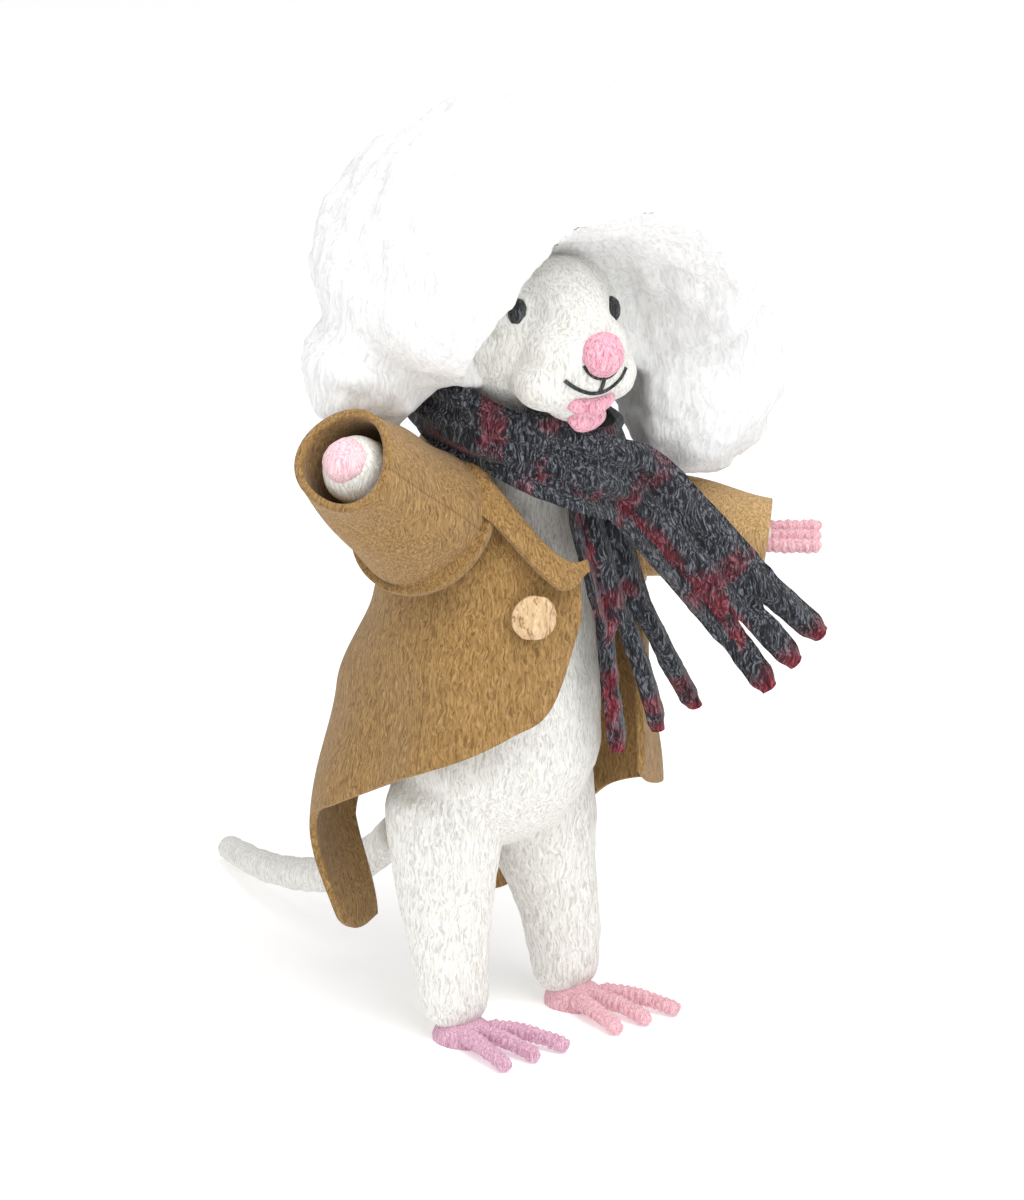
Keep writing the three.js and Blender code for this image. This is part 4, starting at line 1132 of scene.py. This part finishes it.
def make_lapel():
    """The turned-out lapel: a band whose lower edge stands off the right front, with a hollow under it."""
    rows = []
    for r in range(15):
        share = r / 14
        row = []
        for c in range(71):
            along_it = c / 70
            angle = -74 + 66.5 * along_it
            ends = smoothstep(along_it, 0, 0.2) * (1 - smoothstep(along_it, 0.72, 1.0))
            width = 1.2 + 4.0 * ends
            top = collar_height(min(angle, RIGHT_EDGE))
            fold = math.sin(math.pi / 2 * min(share * 4, 1))
            out = FELT + 0.9 + 0.8 * fold + ends * (1.5 * share + 0.4 * math.sin(9 * along_it))
            row.append(coat_point(angle, top + 0.9 * fold - width * share ** 1.3, out + sway(angle, top)))
        rows.append(row)
    lapel = grid_mesh("lapel_felt", rows, FELT)
    return finish_piece(lapel, FELT_OUT, "body")


def coat_reach(start, run, side):
    """How far out along the arm the coat's outer face is, at a place beside the arm's axis."""
    s = 26.0
    while s > 1.5:
        p = start + run * s + side
        angle = math.degrees(math.atan2(p.x, -p.y))
        face = coat_point(angle, min(p.z, 97), FELT)
        if math.hypot(p.x, p.y) < math.hypot(face.x, face.y) and p.z < 98:
            break
        s -= 0.2
    return s


def make_sleeve(name, shoulder, run, length, root, cuff, finish):
    """A felt sleeve: a flange sewn flat on the coat round the armhole, then the tube to the cuff."""
    side = across_arm(run)
    up = run.cross(side)
    columns = 96
    reaches = []
    for c in range(columns):
        turn = 2 * math.pi * c / columns
        radial = side * math.cos(turn) + up * math.sin(turn)
        reaches.append((coat_reach(shoulder, run, radial * (root + 1.9)), coat_reach(shoulder, run, radial * root)))
    rows = []
    stations = 34
    for r in range(stations + 4):
        row = []
        for c in range(columns + 1):
            k = c % columns
            turn = 2 * math.pi * k / columns
            radial = side * math.cos(turn) + up * math.sin(turn)
            flat, base = (sum(reaches[(k + n) % columns][i] for n in range(-5, 6)) / 11 for i in (0, 1))
            if r < 4:
                share = r / 4
                spread = root + 1.9 * (1 - share)
                s = flat + (base - flat) * share + 0.9
            else:
                share = (r - 4) / (stations - 1)
                spread = root + (cuff - root) * smoothstep(share, -0.1, 1.1)
                s = base + 1.3 + (length - base - 1.3) * share
                spread += 0.3 * math.sin(3 * turn + 4 * share) + 0.25 * math.sin(share * 9 + 2 * turn)
            row.append(shoulder + run * s + radial * spread)
        rows.append(row)
    tube_felt = grid_mesh(name, rows, FELT)
    weld(tube_felt, 0.02)
    tube_felt.data.materials.append(finish)
    metres(shoulder + run * 6)
    metres(shoulder + run * 15)
    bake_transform(tube_felt)
    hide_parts(name.replace("_felt", ""))
    return tube_felt


def make_button():
    inner = coat_point(-35, 71, FELT + 0.9)
    out = Vector((inner.x, inner.y, 0)).normalized()
    button = limb("button_felt", (inner, inner + out * 0.8, inner + out * 1.6), (3.5, 3.5, 3.5), ref=(0, 0, 1), sides=48,
                  rings=4, ends=(0.16, 0.2))
    lumpy(button, 2, 0.5)
    settle(button)
    return finish_piece(button, FELT_BUTTON, "body", ("button",))


# ---------------- scarf ----------------

FLY_RUN = Vector((0.536, -0.378, -0.756)).normalized()
FLY_ACROSS = Vector((0.62, -0.29, 0.66))
FLY_ACROSS = (FLY_ACROSS - FLY_RUN * FLY_ACROSS.dot(FLY_RUN)).normalized()
HANG_RUN = Vector((0.28, -0.08, -0.95)).normalized()
HANG_ACROSS = Vector((1, -0.25, 0))
HANG_ACROSS = (HANG_ACROSS - HANG_RUN * HANG_ACROSS.dot(HANG_RUN)).normalized()


def scarf_point(angle, up, out):
    """A place on the scarf's ring: up from its middle level and out from its inner face."""
    a = math.radians(angle)
    radius = 13.8 + out
    return Vector((radius * math.sin(a), -1 - radius * math.cos(a), scarf_centre(angle) + up))


FLY_ROOT = scarf_point(15, -SCARF_HALF + 2.5, 7)
HANG_ROOT = scarf_point(6, -SCARF_HALF - 2.2, 1.5)


def make_wrap():
    """The scarf round the neck: a thick band rumpled into long folds."""
    rows = []
    weave = []
    around = 300
    profile = 44
    for r in range(around):
        angle = 360 * r / around - 180
        row = []
        laid = []
        a = math.radians(angle)
        for c in range(profile):
            t = 2 * math.pi * c / profile
            fold = 0.55 * math.sin(5 * t + 2 * a) + 0.35 * math.sin(9 * t - 5 * a + 1)
            half = SCARF_HALF + 0.3 * math.sin(3 * a)
            up = half * math.sin(t) * (1 - 0.08 * math.cos(2 * t))
            swell = 1 - abs(math.sin(t)) ** 3 * 0.5
            out = 1.7 + 1.75 * math.cos(t) * swell + (fold if math.cos(t) > -0.2 else 0) * 0.8
            row.append(scarf_point(angle, up, max(out, 0.1)))
            laid.append((up + 6 + 3 * math.cos(t), a * 15, 0))
        rows.append(row)
        weave.append(laid)
    net = [p for row in rows for p in row]
    faces = []
    for r in range(around):
        s = (r + 1) % around
        for c in range(profile):
            d = (c + 1) % profile
            faces.append((r * profile + c, s * profile + c, s * profile + d, r * profile + d))
    wrap = make_mesh("scarf_wrap_cloth", net, faces)
    lay_weave(wrap, [w for row in weave for w in row])
    outward(wrap)
    return finish_piece(wrap, TARTAN, "body", ("scarf_wrap",))


def scarf_tail(name, path, across_at, width, cut, splay, fold, nodes, blend_start, blend_end, twist=0.0):
    """A tail of cloth along a path, in long soft folds, cut into three strips that fan out at its free end."""
    rows_count = 96
    columns = 14  # of each strip
    places, tangents, length = spline(path, rows_count)
    strips = 3
    net = []
    laid = []
    faces = []
    for strip in range(strips):
        start = len(net)
        middle = strip - (strips - 1) / 2
        for r in range(rows_count):
            share = r / (rows_count - 1)
            across = across_at(share)
            across = (across - tangents[r] * across.dot(tangents[r])).normalized()
            normal = tangents[r].cross(across)
            free = max(0, share - (1 - cut))
            own = smoothstep(free, 0, 0.06)
            gap = 0.9 * own
            for c in range(columns + 1):
                u = (strip + c / columns) / strips - 0.5
                inside = c / columns - 0.5
                narrow = 1 - smoothstep(share, 0.955, 1.0) * 0.55
                flat = middle * width / strips + inside * (width / strips - gap) * narrow
                reach = flat + middle * splay * free * length
                ridge = fold * math.cos(u * 15 + 2.0 * share + 0.6) * (1 - 0.6 * own)
                own_bend = own * (0.9 * math.sin(7 * share + 2.1 * strip) + 0.8 * math.cos(inside * 5))
                net.append(places[r] + across * reach * (0.86 + 0.14 * share) + normal * (ridge + own_bend))
                laid.append((u * width + 7, share * length, share))
        for r in range(rows_count - 1):
            for c in range(columns):
                k = start + r * (columns + 1) + c
                faces.append((k, k + 1, k + columns + 2, k + columns + 1))
    tail = make_mesh(name, net, faces)
    lay_weave(tail, laid)
    add_modifier(tail, "WELD", merge_threshold=0.02 * MM)
    add_modifier(tail, "SOLIDIFY", thickness=SCARF_CLOTH * MM, offset=0)
    add_modifier(tail, "BEVEL", width=0.3 * MM, segments=2, limit_method="ANGLE", angle_limit=math.radians(50))
    lumpy(tail, 2.5, 0.5)
    settle(tail)
    tail.data.materials.clear()
    tail.data.materials.append(TARTAN)
    metres(blend_start)
    metres(blend_end)
    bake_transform(tail)
    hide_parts(*nodes)
    return tail


def make_tails():
    def fly_across(share):
        upright = Vector((0.15, 0.1, 1))
        return upright.lerp(FLY_ACROSS, smoothstep(share, 0.1, 0.45))

    fly_path = [scarf_point(-48, 0.5, 1.2), scarf_point(-26, -0.2, 3.4), scarf_point(-4, -1.2, 5.2), FLY_ROOT]
    fly_path += [FLY_ROOT + FLY_RUN * d + Vector((0, 0, 0.5)) * math.sin(d / 8) for d in (9, 18, 28, 38)]
    fly = scarf_tail(
        "scarf_flying_cloth", fly_path, fly_across, 13.5, 0.2, 0.1, 0.8,
        ("scarf_flying_tail",), FLY_ROOT + FLY_RUN * 0.5, FLY_ROOT + FLY_RUN * 8,
    )
    hang_path = [scarf_point(2, 1.0, 1.6), HANG_ROOT] + [HANG_ROOT + HANG_RUN * d for d in (9, 18, 28, 38)]
    hang = scarf_tail(
        "scarf_hanging_cloth", hang_path, lambda share: HANG_ACROSS, 10, 0.42, 0.22, 0.6,
        ("scarf_hanging_tail",), HANG_ROOT - HANG_RUN * 1, HANG_ROOT + HANG_RUN * 6,
    )
    return fly, hang


# ---------------- building it ----------------

body = make_body()
feet = make_foot(-1, "right", MAUVE) + make_foot(1, "left", PINK)
tail = make_tail()
right_arm = make_arm("right", RIGHT_SHOULDER, RIGHT_ARM, RIGHT_ARM_LENGTH, 5.2, "right_arm")
left_arm = make_arm("left", LEFT_SHOULDER, LEFT_ARM, LEFT_ARM_LENGTH, 3.6, "left_arm")
right_fingers = make_right_fingers("right_arm")
left_fingers = make_left_fingers("left_arm")
head, face = make_face()
hair = make_hair_core()
coat_back, coat_right, coat_left = make_coat()
lapel = make_lapel()
right_sleeve = make_sleeve("right_sleeve_felt", RIGHT_SHOULDER, RIGHT_ARM, 28, 10.2, 7.5, FELT_OUT)
left_sleeve = make_sleeve("left_sleeve_felt", LEFT_SHOULDER, LEFT_ARM, 26.5, 8.0, 5.4, FELT_LEFT)
button = make_button()
wrap = make_wrap()
flying_tail, hanging_tail = make_tails()


# ---------------- loose fibres ----------------

def ride_on(body):
    return lambda piece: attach(piece, body)


def bend_with(name, body, start, end):
    return lambda piece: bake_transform(piece, "body", body, metres(start), metres(end))


def grow(name, piece, material, carry, slot, keep=None, **sizes):
    """Loose fibres on the faces of a piece, moving with it."""
    ground = bed(piece, keep) if keep else piece
    made = fibres(name, ground, material, **sizes)
    carry(made)
    return made


HAIR_WHITE = fibre_finish("hair_white", colour(244, 244, 244))
HAIR_PALE = fibre_finish("hair_pale", colour(226, 226, 228))
HAIR_GREY = fibre_finish("hair_grey", colour(190, 190, 194))
WOOL_WHITE = fibre_finish("wool_fuzz_white", colour(238, 237, 232))
OCHRE_LIGHT = fibre_finish("ochre_fuzz_light", colour(196, 160, 108))
OCHRE_MID = fibre_finish("ochre_fuzz", colour(158, 120, 70))
OCHRE_DARK = fibre_finish("ochre_fuzz_dark", colour(96, 70, 40))
FELT_PALE = fibre_finish("pale_felt_fuzz", colour(214, 184, 140))
PINK_FUZZ = fibre_finish("pink_fuzz", colour(238, 198, 206))
SCARF_GREY = fibre_finish("scarf_fuzz_grey", colour(150, 154, 162))
SCARF_BLACK = fibre_finish("scarf_fuzz_black", colour(30, 31, 35))
SCARF_RED = fibre_finish("scarf_fuzz_red", colour(120, 34, 46))
YARN = wool_finish("pale_yarn", colour(196, 200, 206), colour(232, 234, 238), colour(120, 124, 132), fibre=0.2)

on_head_body = ride_on("head")
on_body = ride_on("body")
